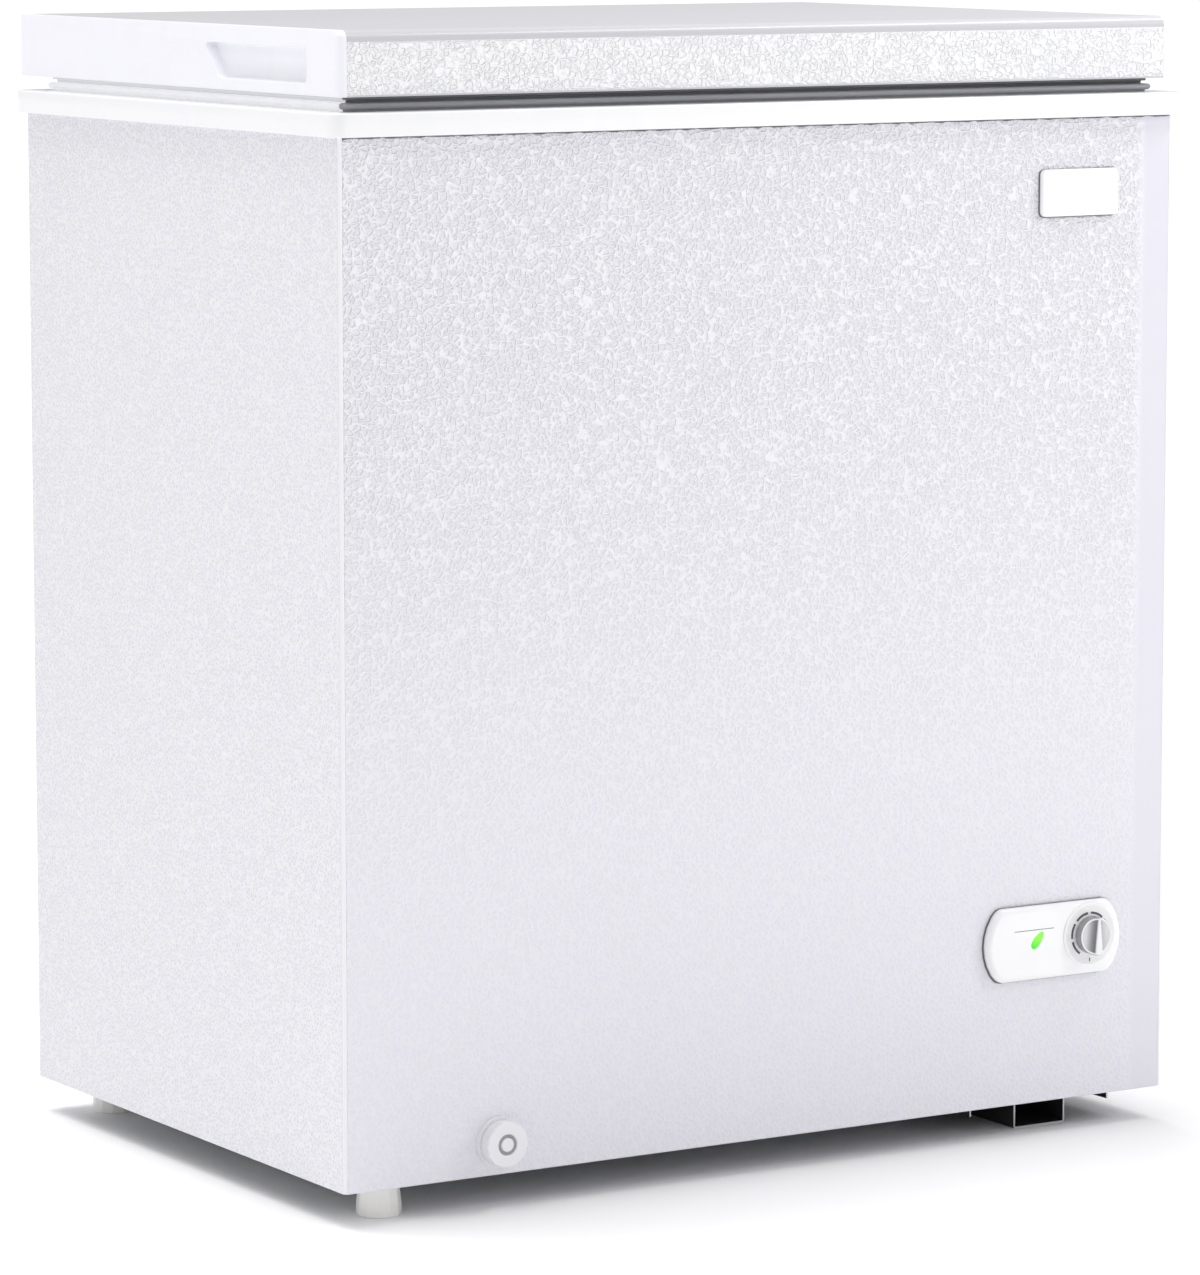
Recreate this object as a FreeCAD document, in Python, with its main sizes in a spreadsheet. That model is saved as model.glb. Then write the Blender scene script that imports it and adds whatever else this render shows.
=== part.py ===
"""Small chest freezer: foamed steel cabinet, top-hinged lid, compressor bay at the lower right.

Frame: +Z up, the front faces -Y, +X is the user's right. Origin on the floor under the cabinet's centre.
All sizes are millimetres and live in the spreadsheet "Sizes"; every piece is bound to them.
"""
import FreeCAD, Part
import math
import os
import re
import Sketcher

V = FreeCAD.Vector
doc = FreeCAD.newDocument("ChestFreezer")

# ---------------------------------------------------------------- driving sizes
SIZES = {
    # cabinet
    "cab_width": 725, "cab_depth": 489, "cab_height": 752, "foot_height": 26,
    "steel": 0.8, "wall": 60, "floor_wall": 62, "liner_sheet": 1.0,
    "corner_seam": 3, "corner_round": 2, "seam_gap": 0.2, "joggle": 12, "hem": 40,
    # compressor bay at the lower right
    "bay_width": 180, "bay_height": 240, "step_wall": 55,
    # rim frame, seal gap and lid
    "rim_height": 17, "rim_overhang": 8, "rim_corner": 12, "rim_band": 16, "rim_skin": 3,
    "rim_edge": 1.5, "ledge": 8, "seal_height": 10.6, "liner_flange": 10,
    "lid_height": 46.7, "lid_inset": 1.5, "lid_rear": 14, "lid_corner": 6.5, "lid_round": 7,
    "cap_width": 14, "cap_side_round": 3, "lid_pan": 1.5, "pan_drop": 5,
    "grip_front": 48, "grip_length": 153, "grip_slant": 27, "grip_tall": 25.6, "grip_base": 8.1,
    "grip_deep": 8.5, "grip_round": 7,
    "gasket_inset": 12, "gasket_wide": 17, "gasket_neck": 5, "bulb_tall": 4.4, "neck_tall": 4.6,
    # badge, control panel, knob, lens
    "badge_inset": 88.5, "badge_drop": 56.5, "badge_wide": 71, "badge_tall": 35.5, "badge_thick": 4.4,
    "badge_corner": 4, "badge_edge": 1.2,
    "panel_inset": 107.5, "panel_rise": 125.5, "panel_wide": 101, "panel_tall": 57, "panel_bulge": 12,
    "panel_thick": 8, "panel_round": 3, "panel_corner": 6, "panel_wall": 3, "panel_skin": 2.5,
    "knob_inset": 76, "knob_rise": 128, "knob_radius": 14.5, "knob_deep": 12, "knob_gap": 0.5,
    "dial_radius": 24.5, "dial_thick": 1.2, "spindle_radius": 3, "spindle_gap": 0.05,
    "knob_edge": 1, "knob_floor": 3, "flank_offset": 2.6, "spindle_in": 11, "spindle_seat": 2,
    "thermo_wide": 46, "thermo_tall": 40, "thermo_deep": 30,
    "lens_inset": 124.5, "lens_long": 16, "lens_wide": 6.5, "lens_angle": 45, "lens_dome": 1.6, "lens_lip": 0.4,
    "lamp_radius": 2.6, "lamp_long": 22,
    # drain
    "drain_inset": 128, "drain_rise": 24.5, "sleeve_radius": 18.8, "sleeve_thick": 3, "dial_face": 17,
    "dial_deep": 10, "spout_radius": 8, "spout_wall": 2, "drain_gap": 0.35,
    "hub_outer": 7.7, "hub_inner": 5, "drain_behind": 34.5, "drain_bend": 16, "sleeve_wall": 1,
    "sleeve_short": 8, "spout_short": 4, "dial_edge": 2.5, "ring_deep": 1.2, "dial_seat": 4,
    "plug_radius": 12, "plug_tall": 5, "stem_long": 12,
    # feet and base plate
    "foot_inset": 48, "foot_front_inset": 35, "foot_rear_inset": 34, "foot_radius": 16.5, "foot_taper": 0.7,
    "foot_screw": 4, "foot_shank": 2, "foot_web": 6, "screw_long": 16,
    "plate_inset": 94.5, "plate_wide": 131, "plate_front_inset": 29.5, "plate_rear_inset": 28.5, "plate_lip": 12,
    "channel_wide": 48, "plate_sheet": 1.3,
    # compressor
    "comp_inset": 184.5, "comp_radius": 68, "comp_tall": 128, "comp_lift": 12, "bolt_x": 52, "bolt_y": 62,
    "shell_lift": 6, "seam_proud": 3, "seam_tall": 4, "leg_margin": 9, "leg_sheet": 3, "leg_hole": 4.5,
    "grommet_radius": 8, "bolt_radius": 3, "bolt_head": 7, "relay_wide": 48, "relay_deep": 22,
    "pipe_radius": 3, "tube_radius": 2.4, "drier_radius": 9, "drier_long": 90,
    "coil_gap": 1.5, "coil_pitch": 62, "drier_lift": 40,
    # hinges
    "hinge_inset": 127.5, "hinge_wide": 70, "hinge_sheet": 2, "hinge_back": 4, "hinge_rise": 5,
    "pin_radius": 3, "pin_gap": 0.05, "knuckle": 5.5, "leaf_wide": 34, "leaf_up": 42, "leg_down": 60,
    "spring_wire": 0.9, "spring_radius": 4.6, "screw_head": 4.2, "head_thick": 2.2,
    # vents
    "grille_wide": 150, "grille_tall": 110, "grille_thick": 3, "slot_tall": 5, "slot_pitch": 11,
    "cover_margin": 16, "cover_sheet": 1.2, "cover_lift": 10, "cover_lap": 8, "grille_lap": 9,
    "slot_inset": 14, "slot_first": 11, "cover_slot_inset": 24, "cover_screw": 3.4,
    "gland_radius": 8, "gland_flange": 11, "gland_bore": 4, "gland_long": 10,
    # basket
    "basket_wide": 166, "basket_tall": 200, "basket_gap": 6, "wire": 3, "rail_wire": 5, "mesh_pitch": 26,
}

sheet = doc.addObject("Spreadsheet::Sheet", "Sizes")
for row, (alias, size) in enumerate(SIZES.items(), start=1):
    sheet.set(f"A{row}", alias)
    sheet.set(f"B{row}", str(size))
    sheet.setAlias(f"B{row}", alias)
doc.recompute()

# Places that follow from the sizes: words for use in expressions beside the aliases.
PLACES = {
    "badge_x": "(cab_width / 2 - badge_inset)", "badge_z": "(foot_height + cab_height - badge_drop)",
    "panel_x": "(cab_width / 2 - panel_inset)", "panel_z": "(foot_height + panel_rise)",
    "knob_x": "(cab_width / 2 - knob_inset)", "knob_z": "(foot_height + knob_rise)",
    "lens_x": "(cab_width / 2 - lens_inset)", "lens_z": "(foot_height + knob_rise)",
    "drain_x": "(drain_inset - cab_width / 2)", "drain_z": "(foot_height + drain_rise)",
    "drain_y": "(wall + drain_behind - cab_depth / 2)",
    "foot_x": "(foot_inset - cab_width / 2)", "foot_front": "(foot_front_inset - cab_depth / 2)",
    "foot_rear": "(cab_depth / 2 - foot_rear_inset)",
    "plate_x": "(cab_width / 2 - plate_inset)", "plate_front": "(plate_front_inset - cab_depth / 2)",
    "plate_rear": "(cab_depth / 2 - plate_rear_inset)", "comp_y": "(cab_depth / 2 - comp_inset)",
    "hinge_x": "(cab_width / 2 - hinge_inset)", "hinge_y": "(cab_depth / 2 + lid_rear + hinge_back)",
    "hinge_z": "(foot_height + cab_height + rim_height + hinge_rise)",
}


def words(names):
    """A pattern that finds any of the names as a whole word, longest first."""
    return re.compile(r"\b(" + "|".join(sorted(names, key=len, reverse=True)) + r")\b")


PLACE, ALIAS = words(PLACES), words(SIZES)


def ex(text):
    """An expression in the sheet's aliases, as FreeCAD wants it."""
    spelt_out = PLACE.sub(lambda found: PLACES[found.group(1)], str(text))
    return ALIAS.sub(r"Sizes.\1", spelt_out)


def value(text):
    """What such an expression comes to, for choosing edges and for pieces made from raw shapes."""
    return float(sheet.evalExpression(ex(text)))


# ---------------------------------------------------------------- places shared by several pieces
SIDE = "(cab_width / 2)"
FRONT = "(-cab_depth / 2)"
REAR = "(cab_depth / 2)"
BASE = "foot_height"
RIM_UNDER = "(foot_height + cab_height)"
RIM_TOP = "(foot_height + cab_height + rim_height)"
LID_UNDER = "(foot_height + cab_height + rim_height + seal_height)"
LID_TOP = "(foot_height + cab_height + rim_height + seal_height + lid_height)"
LID_SIDE = "(cab_width / 2 - lid_inset)"
LID_FRONT = "(-cab_depth / 2 + lid_inset)"
LID_REAR = "(cab_depth / 2 + lid_rear)"
CAV_SIDE = "(cab_width / 2 - wall)"
CAV_FRONT = "(-cab_depth / 2 + wall)"
CAV_REAR = "(cab_depth / 2 - wall)"
CAV_FLOOR = "(foot_height + floor_wall)"
BAY_LEFT = "(cab_width / 2 - bay_width)"
BAY_TOP = "(foot_height + bay_height)"
STEP_LEFT = "(cab_width / 2 - bay_width - step_wall)"
STEP_TOP = "(foot_height + bay_height + step_wall)"

nodes = []


def keep(obj, label):
    """Marks an object as a finished piece under its own name."""
    obj.Label = label
    nodes.append(obj)
    return obj


# ---------------------------------------------------------------- Part primitives and booleans
def box(name, x0, x1, y0, y1, z0, z1):
    obj = doc.addObject("Part::Box", name)
    for side, low, high in (("Length", x0, x1), ("Width", y0, y1), ("Height", z0, z1)):
        obj.setExpression(side, ex(f"({high}) - ({low})"))
    for axis, low in zip("xyz", (x0, y0, z0)):
        obj.setExpression(f"Placement.Base.{axis}", ex(low))
    return obj


TURNS = {
    "+X": FreeCAD.Rotation(V(0, 1, 0), 90), "-X": FreeCAD.Rotation(V(0, 1, 0), -90),
    "+Y": FreeCAD.Rotation(V(1, 0, 0), -90), "-Y": FreeCAD.Rotation(V(1, 0, 0), 90),
    "+Z": FreeCAD.Rotation(), "-Z": FreeCAD.Rotation(V(1, 0, 0), 180),
}


def cylinder(name, radius, length, at, along="+Z"):
    obj = doc.addObject("Part::Cylinder", name)
    obj.setExpression("Radius", ex(radius))
    obj.setExpression("Height", ex(length))
    obj.Placement = FreeCAD.Placement(V(), TURNS[along])
    for axis, place in zip("xyz", at):
        obj.setExpression(f"Placement.Base.{axis}", ex(place))
    return obj


def fuse(name, *shapes):
    obj = doc.addObject("Part::MultiFuse", name)
    obj.Shapes = list(shapes)
    return obj


def cut(name, base, *tools):
    obj = doc.addObject("Part::Cut", name)
    obj.Base = base
    obj.Tool = tools[0] if len(tools) == 1 else fuse(name + "Tools", *tools)
    return obj


def group(name, *shapes):
    """Separate solids that share one node."""
    obj = doc.addObject("Part::Compound", name)
    obj.Links = list(shapes)
    return obj


def frame_ring(name, outer, inner):
    """A rectangular ring: outer and inner are (x0, x1, y0, y1), and share z0, z1 in outer[4:]."""
    return cut(name, box(name + "Out", *outer), box(name + "In", *inner, f"{outer[4]} - 1", f"{outer[5]} + 1"))


# ---------------------------------------------------------------- PartDesign helpers
PLANES = {"XY": "XY_Plane", "XZ": "XZ_Plane", "YZ": "YZ_Plane"}


def new_body(name):
    return doc.addObject("PartDesign::Body", name)


def sketch(body, name, plane, lift="0"):
    """A sketch on one of the body's own planes, lifted along that plane's normal."""
    sk = body.newObject("Sketcher::SketchObject", name)
    origin = next(f for f in body.Origin.OriginFeatures if f.Role == PLANES[plane])
    sk.AttachmentSupport = [(origin, "")]
    sk.MapMode = "FlatFace"
    sk.setExpression("AttachmentOffset.Base.z", ex(lift))
    return sk


def outline(sk, points):
    """A closed polygon whose corners are bound to expressions."""
    first = sk.GeometryCount
    spots = [V(value(x), value(y), 0) for x, y in points]
    for i, spot in enumerate(spots):
        sk.addGeometry(Part.LineSegment(spot, spots[(i + 1) % len(spots)]), False)
    for i in range(len(spots)):
        after = first + (i + 1) % len(spots)
        sk.addConstraint(Sketcher.Constraint("Coincident", first + i, 2, after, 1))
    for i, (x, y) in enumerate(points):
        for kind, text, number in (("DistanceX", x, spots[i].x), ("DistanceY", y, spots[i].y)):
            at = sk.addConstraint(Sketcher.Constraint(kind, -1, 1, first + i, 1, number))
            sk.setExpression(f"Constraints[{at}]", ex(text))


def circle(sk, x, y, radius):
    at = sk.addGeometry(Part.Circle(V(value(x), value(y), 0), V(0, 0, 1), value(radius)), False)
    for kind, text in (("DistanceX", x), ("DistanceY", y)):
        c = sk.addConstraint(Sketcher.Constraint(kind, -1, 1, at, 3, value(text)))
        sk.setExpression(f"Constraints[{c}]", ex(text))
    c = sk.addConstraint(Sketcher.Constraint("Radius", at, value(radius)))
    sk.setExpression(f"Constraints[{c}]", ex(radius))


def feature(body, kind, name, profile, length, reverse=False):
    """A pad or pocket of a sketch."""
    obj = body.newObject("PartDesign::" + kind, name)
    obj.Profile = profile
    obj.setExpression("Length", ex(length))
    obj.Reversed = reverse
    doc.recompute()
    return obj


def pocket(body, name, profile, length, reverse=False):
    before = body.Shape.Volume
    obj = feature(body, "Pocket", name, profile, length, reverse)
    if body.Shape.Volume >= before - 1e-6:
        raise RuntimeError(f"{name} cuts nothing")
    return obj


def fillet(body, name, radius, wanted):
    """Rounds the edges of the body's tip that the test picks."""
    doc.recompute()
    tip = body.Tip
    picked = [f"Edge{i}" for i, e in enumerate(tip.Shape.Edges, start=1) if wanted(e)]
    if not picked:
        raise RuntimeError(f"{name} found no edge")
    obj = body.newObject("PartDesign::Fillet", name)
    obj.Base = (tip, picked)
    obj.setExpression("Radius", ex(radius))
    doc.recompute()
    return obj


def runs_along(edge, axis):
    """True for a straight edge along one axis."""
    if edge.Curve.TypeId != "Part::GeomLine":
        return False
    return abs(abs(getattr(edge.Curve.Direction, axis)) - 1) < 1e-6


def lies_at(edge, **places):
    """True when the whole edge lies at the given coordinates."""
    limits = edge.BoundBox
    for axis, place in places.items():
        low = getattr(limits, axis.upper() + "Min")
        high = getattr(limits, axis.upper() + "Max")
        if abs(low - place) > 0.01 or abs(high - place) > 0.01:
            return False
    return True


def pipe(name, points, bend, radius):
    """A round tube's solid: straight runs joined by tangent arcs."""
    spots = [V(*p) for p in points]
    edges = []
    last = spots[0]
    for before, corner, after in zip(spots, spots[1:], spots[2:]):
        back = (before - corner).normalize()
        on = (after - corner).normalize()
        if (back + on).Length < 1e-6:
            continue
        turn = math.pi - back.getAngle(on)
        reach = bend * math.tan(turn / 2)
        start, end = corner + back * reach, corner + on * reach
        middle = corner + (back + on).normalize() * (bend / math.cos(turn / 2) - bend)
        if (start - last).Length > 1e-6:
            edges.append(Part.LineSegment(last, start).toShape())
        edges.append(Part.Arc(start, middle, end).toShape())
        last = end
    edges.append(Part.LineSegment(last, spots[-1]).toShape())
    path = Part.Wire(edges)
    ring = Part.Wire(Part.Circle(spots[0], spots[1] - spots[0], radius).toShape())
    obj = doc.addObject("Part::Feature", name)
    obj.Shape = path.makePipeShell([ring], True, False)
    obj.Placement = FreeCAD.Placement()
    return obj


def serpentine(across, up, x_of, spacing):
    """Corners of a flat zigzag: across is (low, high) along the run, up is (low, high) of its rows."""
    rows = max(3, int((up[1] - up[0]) // spacing) | 1)
    points = []
    for row in range(rows):
        level = up[0] + (up[1] - up[0]) * row / (rows - 1)
        ends = across if row % 2 == 0 else across[::-1]
        points += [x_of(ends[0], level), x_of(ends[1], level)]
    return points


def slab(name, x0, x1, y0, y1, z0, z1):
    """A PartDesign block: a bound rectangle padded upwards."""
    body = new_body(name)
    sk = sketch(body, name + "Sketch", "XY", z0)
    outline(sk, [(x0, y0), (x1, y0), (x1, y1), (x0, y1)])
    feature(body, "Pad", name + "Pad", sk, f"({z1}) - ({z0})")
    return body


# ---------------------------------------------------------------- cabinet sheet metal
def panel_face(name, side):
    """Front or back sheet with its bottom return flange: side is -1 for the front, 1 for the back."""
    reach = "(cab_width / 2 - corner_seam - seam_gap)"
    outer = f"({side} * cab_depth / 2)"
    inner = f"({side} * (cab_depth / 2 - steel))"
    fold = f"({side} * (cab_depth / 2 - hem))"
    low, high = (outer, inner) if side < 0 else (inner, outer)
    face = box(name + "Face", f"-{reach}", reach, low, high, BASE, RIM_UNDER)
    low, high = (outer, fold) if side < 0 else (fold, outer)
    flange_reach = "(cab_width / 2 - corner_seam - joggle)"
    flange = box(name + "Flange", f"-{flange_reach}", flange_reach, low, high, BASE, f"{BASE} + steel")
    return fuse(name + "Sheet", face, flange)


front_sheet = panel_face("Front", -1)
keep(cut(
    "FrontPanel", front_sheet,
    cylinder("FrontDrainHole", "spout_radius + spout_wall + drain_gap + sleeve_wall", "4 * steel",
             ("drain_x", f"{FRONT} - steel", "drain_z"), "+Y"),
    cylinder("FrontSpindleHole", "knob_radius - 3", "4 * steel", ("knob_x", f"{FRONT} - steel", "knob_z"), "+Y"),
    cylinder("FrontLampHole", "lamp_radius + 1", "4 * steel", ("lens_x", f"{FRONT} - steel", "lens_z"), "+Y"),
), "front_panel")

back_sheet = panel_face("Back", 1)
COVER_LEFT = f"({BAY_LEFT} + cover_margin)"
COVER_RIGHT = "(cab_width / 2 - cover_margin)"
COVER_LOW = f"({BASE} + cover_lift)"
COVER_HIGH = f"({BAY_TOP} - cover_margin)"
keep(cut(
    "BackPanel", back_sheet,
    box("BackOpening", f"{COVER_LEFT} + cover_lap", f"{COVER_RIGHT} - cover_lap", f"{REAR} - 2 * steel",
        f"{REAR} + steel", f"{COVER_LOW} + cover_lap", f"{COVER_HIGH} - cover_lap"),
), "back_panel")


def side_panel(name, side):
    """Side sheet that wraps both vertical corners and is joggled behind the front and back sheets."""
    def at(inset):
        return f"({side} * (cab_width / 2 - ({inset})))"

    half = "(cab_depth / 2)"
    rear = [(at("0"), half), (at("corner_seam"), half), (at("corner_seam"), f"{half} - steel"),
            (at("corner_seam + joggle"), f"{half} - steel"), (at("corner_seam + joggle"), f"{half} - 2 * steel"),
            (at("corner_seam - steel"), f"{half} - 2 * steel"), (at("corner_seam - steel"), f"{half} - steel"),
            (at("steel"), f"{half} - steel")]
    front = [(x, f"-({y})") for x, y in reversed(rear)]
    body = new_body(name)
    sk = sketch(body, name + "Sketch", "XY", BASE)
    outline(sk, rear + front)
    feature(body, "Pad", name + "Pad", sk, "cab_height")
    edge_x, edge_y = side * value("cab_width / 2"), value("cab_depth / 2")
    fillet(body, name + "Corner", "corner_round", lambda e: runs_along(e, "z") and lies_at(e, x=edge_x)
           and abs(abs(e.BoundBox.YMin) - edge_y) < 0.01)
    low, high = (at("0"), at("joggle")) if side < 0 else (at("joggle"), at("0"))
    hem_reach = "(cab_depth / 2 - hem)"
    foot_flange = box(name + "Hem", low, high, f"-{hem_reach}", hem_reach, BASE, f"{BASE} + steel")
    return fuse(name + "Sheet", body, foot_flange)


keep(side_panel("LeftSide", -1), "left_side_panel")
GRILLE_Y0 = "(comp_y - grille_wide / 2)"
GRILLE_Y1 = "(comp_y + grille_wide / 2)"
GRILLE_Z0 = f"({BASE} + bay_height / 2 - grille_tall / 2)"
GRILLE_Z1 = f"({BASE} + bay_height / 2 + grille_tall / 2)"
right_sheet = side_panel("RightSide", 1)
keep(cut(
    "RightPanel", right_sheet,
    box("GrilleOpening", f"{SIDE} - 2 * steel", f"{SIDE} + steel", f"{GRILLE_Y0} + grille_lap",
        f"{GRILLE_Y1} - grille_lap", f"{GRILLE_Z0} + grille_lap", f"{GRILLE_Z1} - grille_lap"),
), "right_side_panel")

INNER_SIDE = "(cab_width / 2 - steel)"
INNER_Y = "(cab_depth / 2 - 2 * steel)"
PAN_LOW = f"({BASE} + steel)"
floor_pan = box("FloorPan", f"-{INNER_SIDE}", BAY_LEFT, f"-{INNER_Y}", INNER_Y, PAN_LOW, f"{PAN_LOW} + steel")
riser = box("Riser", f"{BAY_LEFT} - steel", BAY_LEFT, f"-{INNER_Y}", INNER_Y, PAN_LOW, f"{BAY_TOP} + steel")
shelf = box("Shelf", f"{BAY_LEFT} - steel", INNER_SIDE, f"-{INNER_Y}", INNER_Y, BAY_TOP, f"{BAY_TOP} + steel")
keep(fuse("BottomPanel", floor_pan, riser, shelf), "stepped_bottom_panel")

# ---------------------------------------------------------------- liner and foam
def liner_boxes(name, grow, top, drop):
    """The cavity's two boxes, grown outwards: the full-width upper one and the well left of the step."""
    side, front, rear = f"({CAV_SIDE} + {grow})", f"({CAV_FRONT} - {grow})", f"({CAV_REAR} + {grow})"
    upper = box(name + "Upper", f"-{side}", side, front, rear, f"{STEP_TOP} - {drop}", top)
    well = box(name + "Well", f"-{side}", f"{STEP_LEFT} + {grow}", front, rear, f"{CAV_FLOOR} - {drop}", top)
    return upper, well


DRAIN_OUT = "(spout_radius + spout_wall)"
FLANGE_SPAN = (f"-({CAV_SIDE} + liner_flange)", f"{CAV_SIDE} + liner_flange",
               f"{CAV_FRONT} - liner_flange", f"{CAV_REAR} + liner_flange")
liner_flange = box("LinerFlange", *FLANGE_SPAN, f"{RIM_UNDER} - liner_sheet", RIM_UNDER)
liner_outer = fuse("LinerOuter", *liner_boxes("LinerSkin", "liner_sheet", RIM_UNDER, "liner_sheet"), liner_flange)
cavity = fuse("Cavity", *liner_boxes("CavitySpace", "0", f"{RIM_TOP} + 5", "0"))
floor_hole = cylinder("FloorHole", DRAIN_OUT, "10", ("drain_x", "drain_y", f"{CAV_FLOOR} - 5"))
keep(cut("InnerLiner", liner_outer, cavity, floor_hole), "inner_liner")

SLEEVE_REAR = f"({CAV_FRONT} - sleeve_short)"
drain_corner = [("drain_x", "drain_y", CAV_FLOOR), ("drain_x", "drain_y", "drain_z"),
                ("drain_x", SLEEVE_REAR, "drain_z")]
drain_points = [tuple(value(c) for c in p) for p in drain_corner]
drain_solid = pipe("DrainSolid", drain_points, value("drain_bend"), value(DRAIN_OUT))
drain_bore = pipe("DrainBore", drain_points, value("drain_bend"), value("spout_radius"))
keep(cut("DrainPipe", drain_solid, drain_bore), "drain_pipe")

SLEEVE_OUT = "(spout_radius + spout_wall + drain_gap + sleeve_wall)"
foam_block = box("FoamBlock", f"-{INNER_SIDE}", INNER_SIDE, f"-{INNER_Y}", INNER_Y, f"{PAN_LOW} + steel", RIM_UNDER)
between_flanges = "(cab_width / 2 - corner_seam - joggle)"
foam_faces = box("FoamFaces", f"-{between_flanges}", between_flanges, f"-(cab_depth / 2 - steel)",
                 "cab_depth / 2 - steel", f"{PAN_LOW} + steel", RIM_UNDER)
POCKET_OUT = "rim_band - rim_overhang"
foam_top = frame_ring(
    "FoamTop",
    (f"-({SIDE} - {POCKET_OUT})", f"{SIDE} - {POCKET_OUT}", f"{FRONT} + {POCKET_OUT}", f"{REAR} - {POCKET_OUT}",
     RIM_UNDER, f"{RIM_TOP} - rim_skin"),
    (f"-({CAV_SIDE} + rim_band)", f"{CAV_SIDE} + rim_band", f"{CAV_FRONT} - rim_band", f"{CAV_REAR} + rim_band"))
bay_space = box("BaySpace", f"{BAY_LEFT} - steel", f"{SIDE} + 1", f"{FRONT} - 1", f"{REAR} + 1", "0",
                f"{BAY_TOP} + steel")
sleeve_space = cylinder("SleeveSpace", SLEEVE_OUT, f"{SLEEVE_REAR} - {FRONT}", ("drain_x", FRONT, "drain_z"), "+Y")
cavity_plain = fuse("LinerSpace", *liner_boxes("LinerBulk", "liner_sheet", f"{RIM_UNDER} + 1", "liner_sheet"),
                    box("FlangeSpace", *FLANGE_SPAN, f"{RIM_UNDER} - liner_sheet", f"{RIM_UNDER} + 1"))
keep(cut("CabinetFoam", fuse("FoamAll", foam_block, foam_faces, foam_top), cavity_plain, bay_space, sleeve_space,
         drain_solid), "cabinet_foam")

# ---------------------------------------------------------------- rim frame
rim = slab("RimFrame", f"-({SIDE} + rim_overhang)", f"{SIDE} + rim_overhang", f"{FRONT} - rim_overhang",
           f"{REAR} + rim_overhang", RIM_UNDER, RIM_TOP)
fillet(rim, "RimCorners", "rim_corner", lambda e: runs_along(e, "z"))
rim_top_level = value(RIM_TOP)
fillet(rim, "RimTopEdge", "rim_edge", lambda e: lies_at(e, z=rim_top_level))


def rim_pocket(name, x, front, rear, lift, deep, down):
    sk = sketch(rim, name + "Sketch", "XY", lift)
    outline(sk, [(f"-({x})", front), (x, front), (x, rear), (f"-({x})", rear)])
    return pocket(rim, name, sk, deep, reverse=not down)


rim_pocket("RimOpening", CAV_SIDE, CAV_FRONT, CAV_REAR, f"{RIM_TOP}", "rim_height", True)
rim_pocket("RimLedge", f"{CAV_SIDE} + ledge", f"{CAV_FRONT} - ledge", f"{CAV_REAR} + ledge", RIM_TOP, "ledge", True)
under = sketch(rim, "RimUndersideSketch", "XY", RIM_UNDER)
for x, front, rear in ((f"{SIDE} - {POCKET_OUT}", f"{FRONT} + {POCKET_OUT}", f"{REAR} - {POCKET_OUT}"),
                       (f"{CAV_SIDE} + rim_band", f"{CAV_FRONT} - rim_band", f"{CAV_REAR} + rim_band")):
    outline(under, [(f"-({x})", front), (x, front), (x, rear), (f"-({x})", rear)])
pocket(rim, "RimUnderside", under, "rim_height - rim_skin", reverse=True)
keep(rim, "top_rim_frame")

# ---------------------------------------------------------------- badge and control panel
badge = new_body("Badge")
sk = sketch(badge, "BadgeSketch", "XZ", f"-({FRONT})")
outline(sk, [(f"badge_x {a} badge_wide / 2", f"badge_z {b} badge_tall / 2") for a, b in ("--", "+-", "++", "-+")])
feature(badge, "Pad", "BadgePad", sk, "badge_thick")
fillet(badge, "BadgeCorners", "badge_corner", lambda e: runs_along(e, "y"))
badge_face = value(f"{FRONT} - badge_thick")
fillet(badge, "BadgeEdge", "badge_edge", lambda e: lies_at(e, y=badge_face))
keep(badge, "badge_plate")

control = new_body("ControlPanel")
sk = sketch(control, "PanelSketch", "XZ", f"-({FRONT})")
x0, x1 = "panel_x - panel_wide / 2", "panel_x + panel_wide / 2"
z0, z1 = "panel_z - panel_tall / 2", "panel_z + panel_tall / 2"
corners = [V(value(x), value(z), 0) for x, z in ((x0, z0), (x1, z0), (x1, z1), (x0, z1))]
bulge = V(value("panel_bulge"), 0, 0)
sk.addGeometry(Part.LineSegment(corners[0], corners[1]), False)
sk.addGeometry(Part.Arc(corners[1], (corners[1] + corners[2]) * 0.5 + bulge, corners[2]), False)
sk.addGeometry(Part.LineSegment(corners[2], corners[3]), False)
sk.addGeometry(Part.Arc(corners[3], (corners[3] + corners[0]) * 0.5 - bulge, corners[0]), False)
for i in range(4):
    sk.addConstraint(Sketcher.Constraint("Coincident", i, 2, (i + 1) % 4, 1))
for line, end, x, z in ((0, 1, x0, z0), (0, 2, x1, z0), (2, 1, x1, z1), (2, 2, x0, z1)):
    for kind, text in (("DistanceX", x), ("DistanceY", z)):
        at = sk.addConstraint(Sketcher.Constraint(kind, -1, 1, line, end, value(text)))
        sk.setExpression(f"Constraints[{at}]", ex(text))
BULGE_RADIUS = "panel_tall * panel_tall / (8 * panel_bulge) + panel_bulge / 2"
for arc in (1, 3):
    at = sk.addConstraint(Sketcher.Constraint("Radius", arc, value(BULGE_RADIUS)))
    sk.setExpression(f"Constraints[{at}]", ex(BULGE_RADIUS))
feature(control, "Pad", "PanelPad", sk, "panel_thick")
fillet(control, "PanelCorners", "panel_corner", lambda e: runs_along(e, "y"))
panel_face_y = value(f"{FRONT} - panel_thick")
fillet(control, "PanelEdge", "panel_round", lambda e: lies_at(e, y=panel_face_y))
back = sketch(control, "PanelBackSketch", "XZ", f"-({FRONT})")
outline(back, [(f"panel_x {a} (panel_wide / 2 - panel_wall)", f"panel_z {b} (panel_tall / 2 - panel_wall)")
               for a, b in ("--", "+-", "++", "-+")])
pocket(control, "PanelBack", back, "panel_thick - panel_skin", reverse=True)
holes = sketch(control, "PanelHoleSketch", "XZ", f"-({FRONT})")
circle(holes, "knob_x", "knob_z", "spindle_radius + knob_gap")
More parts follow.
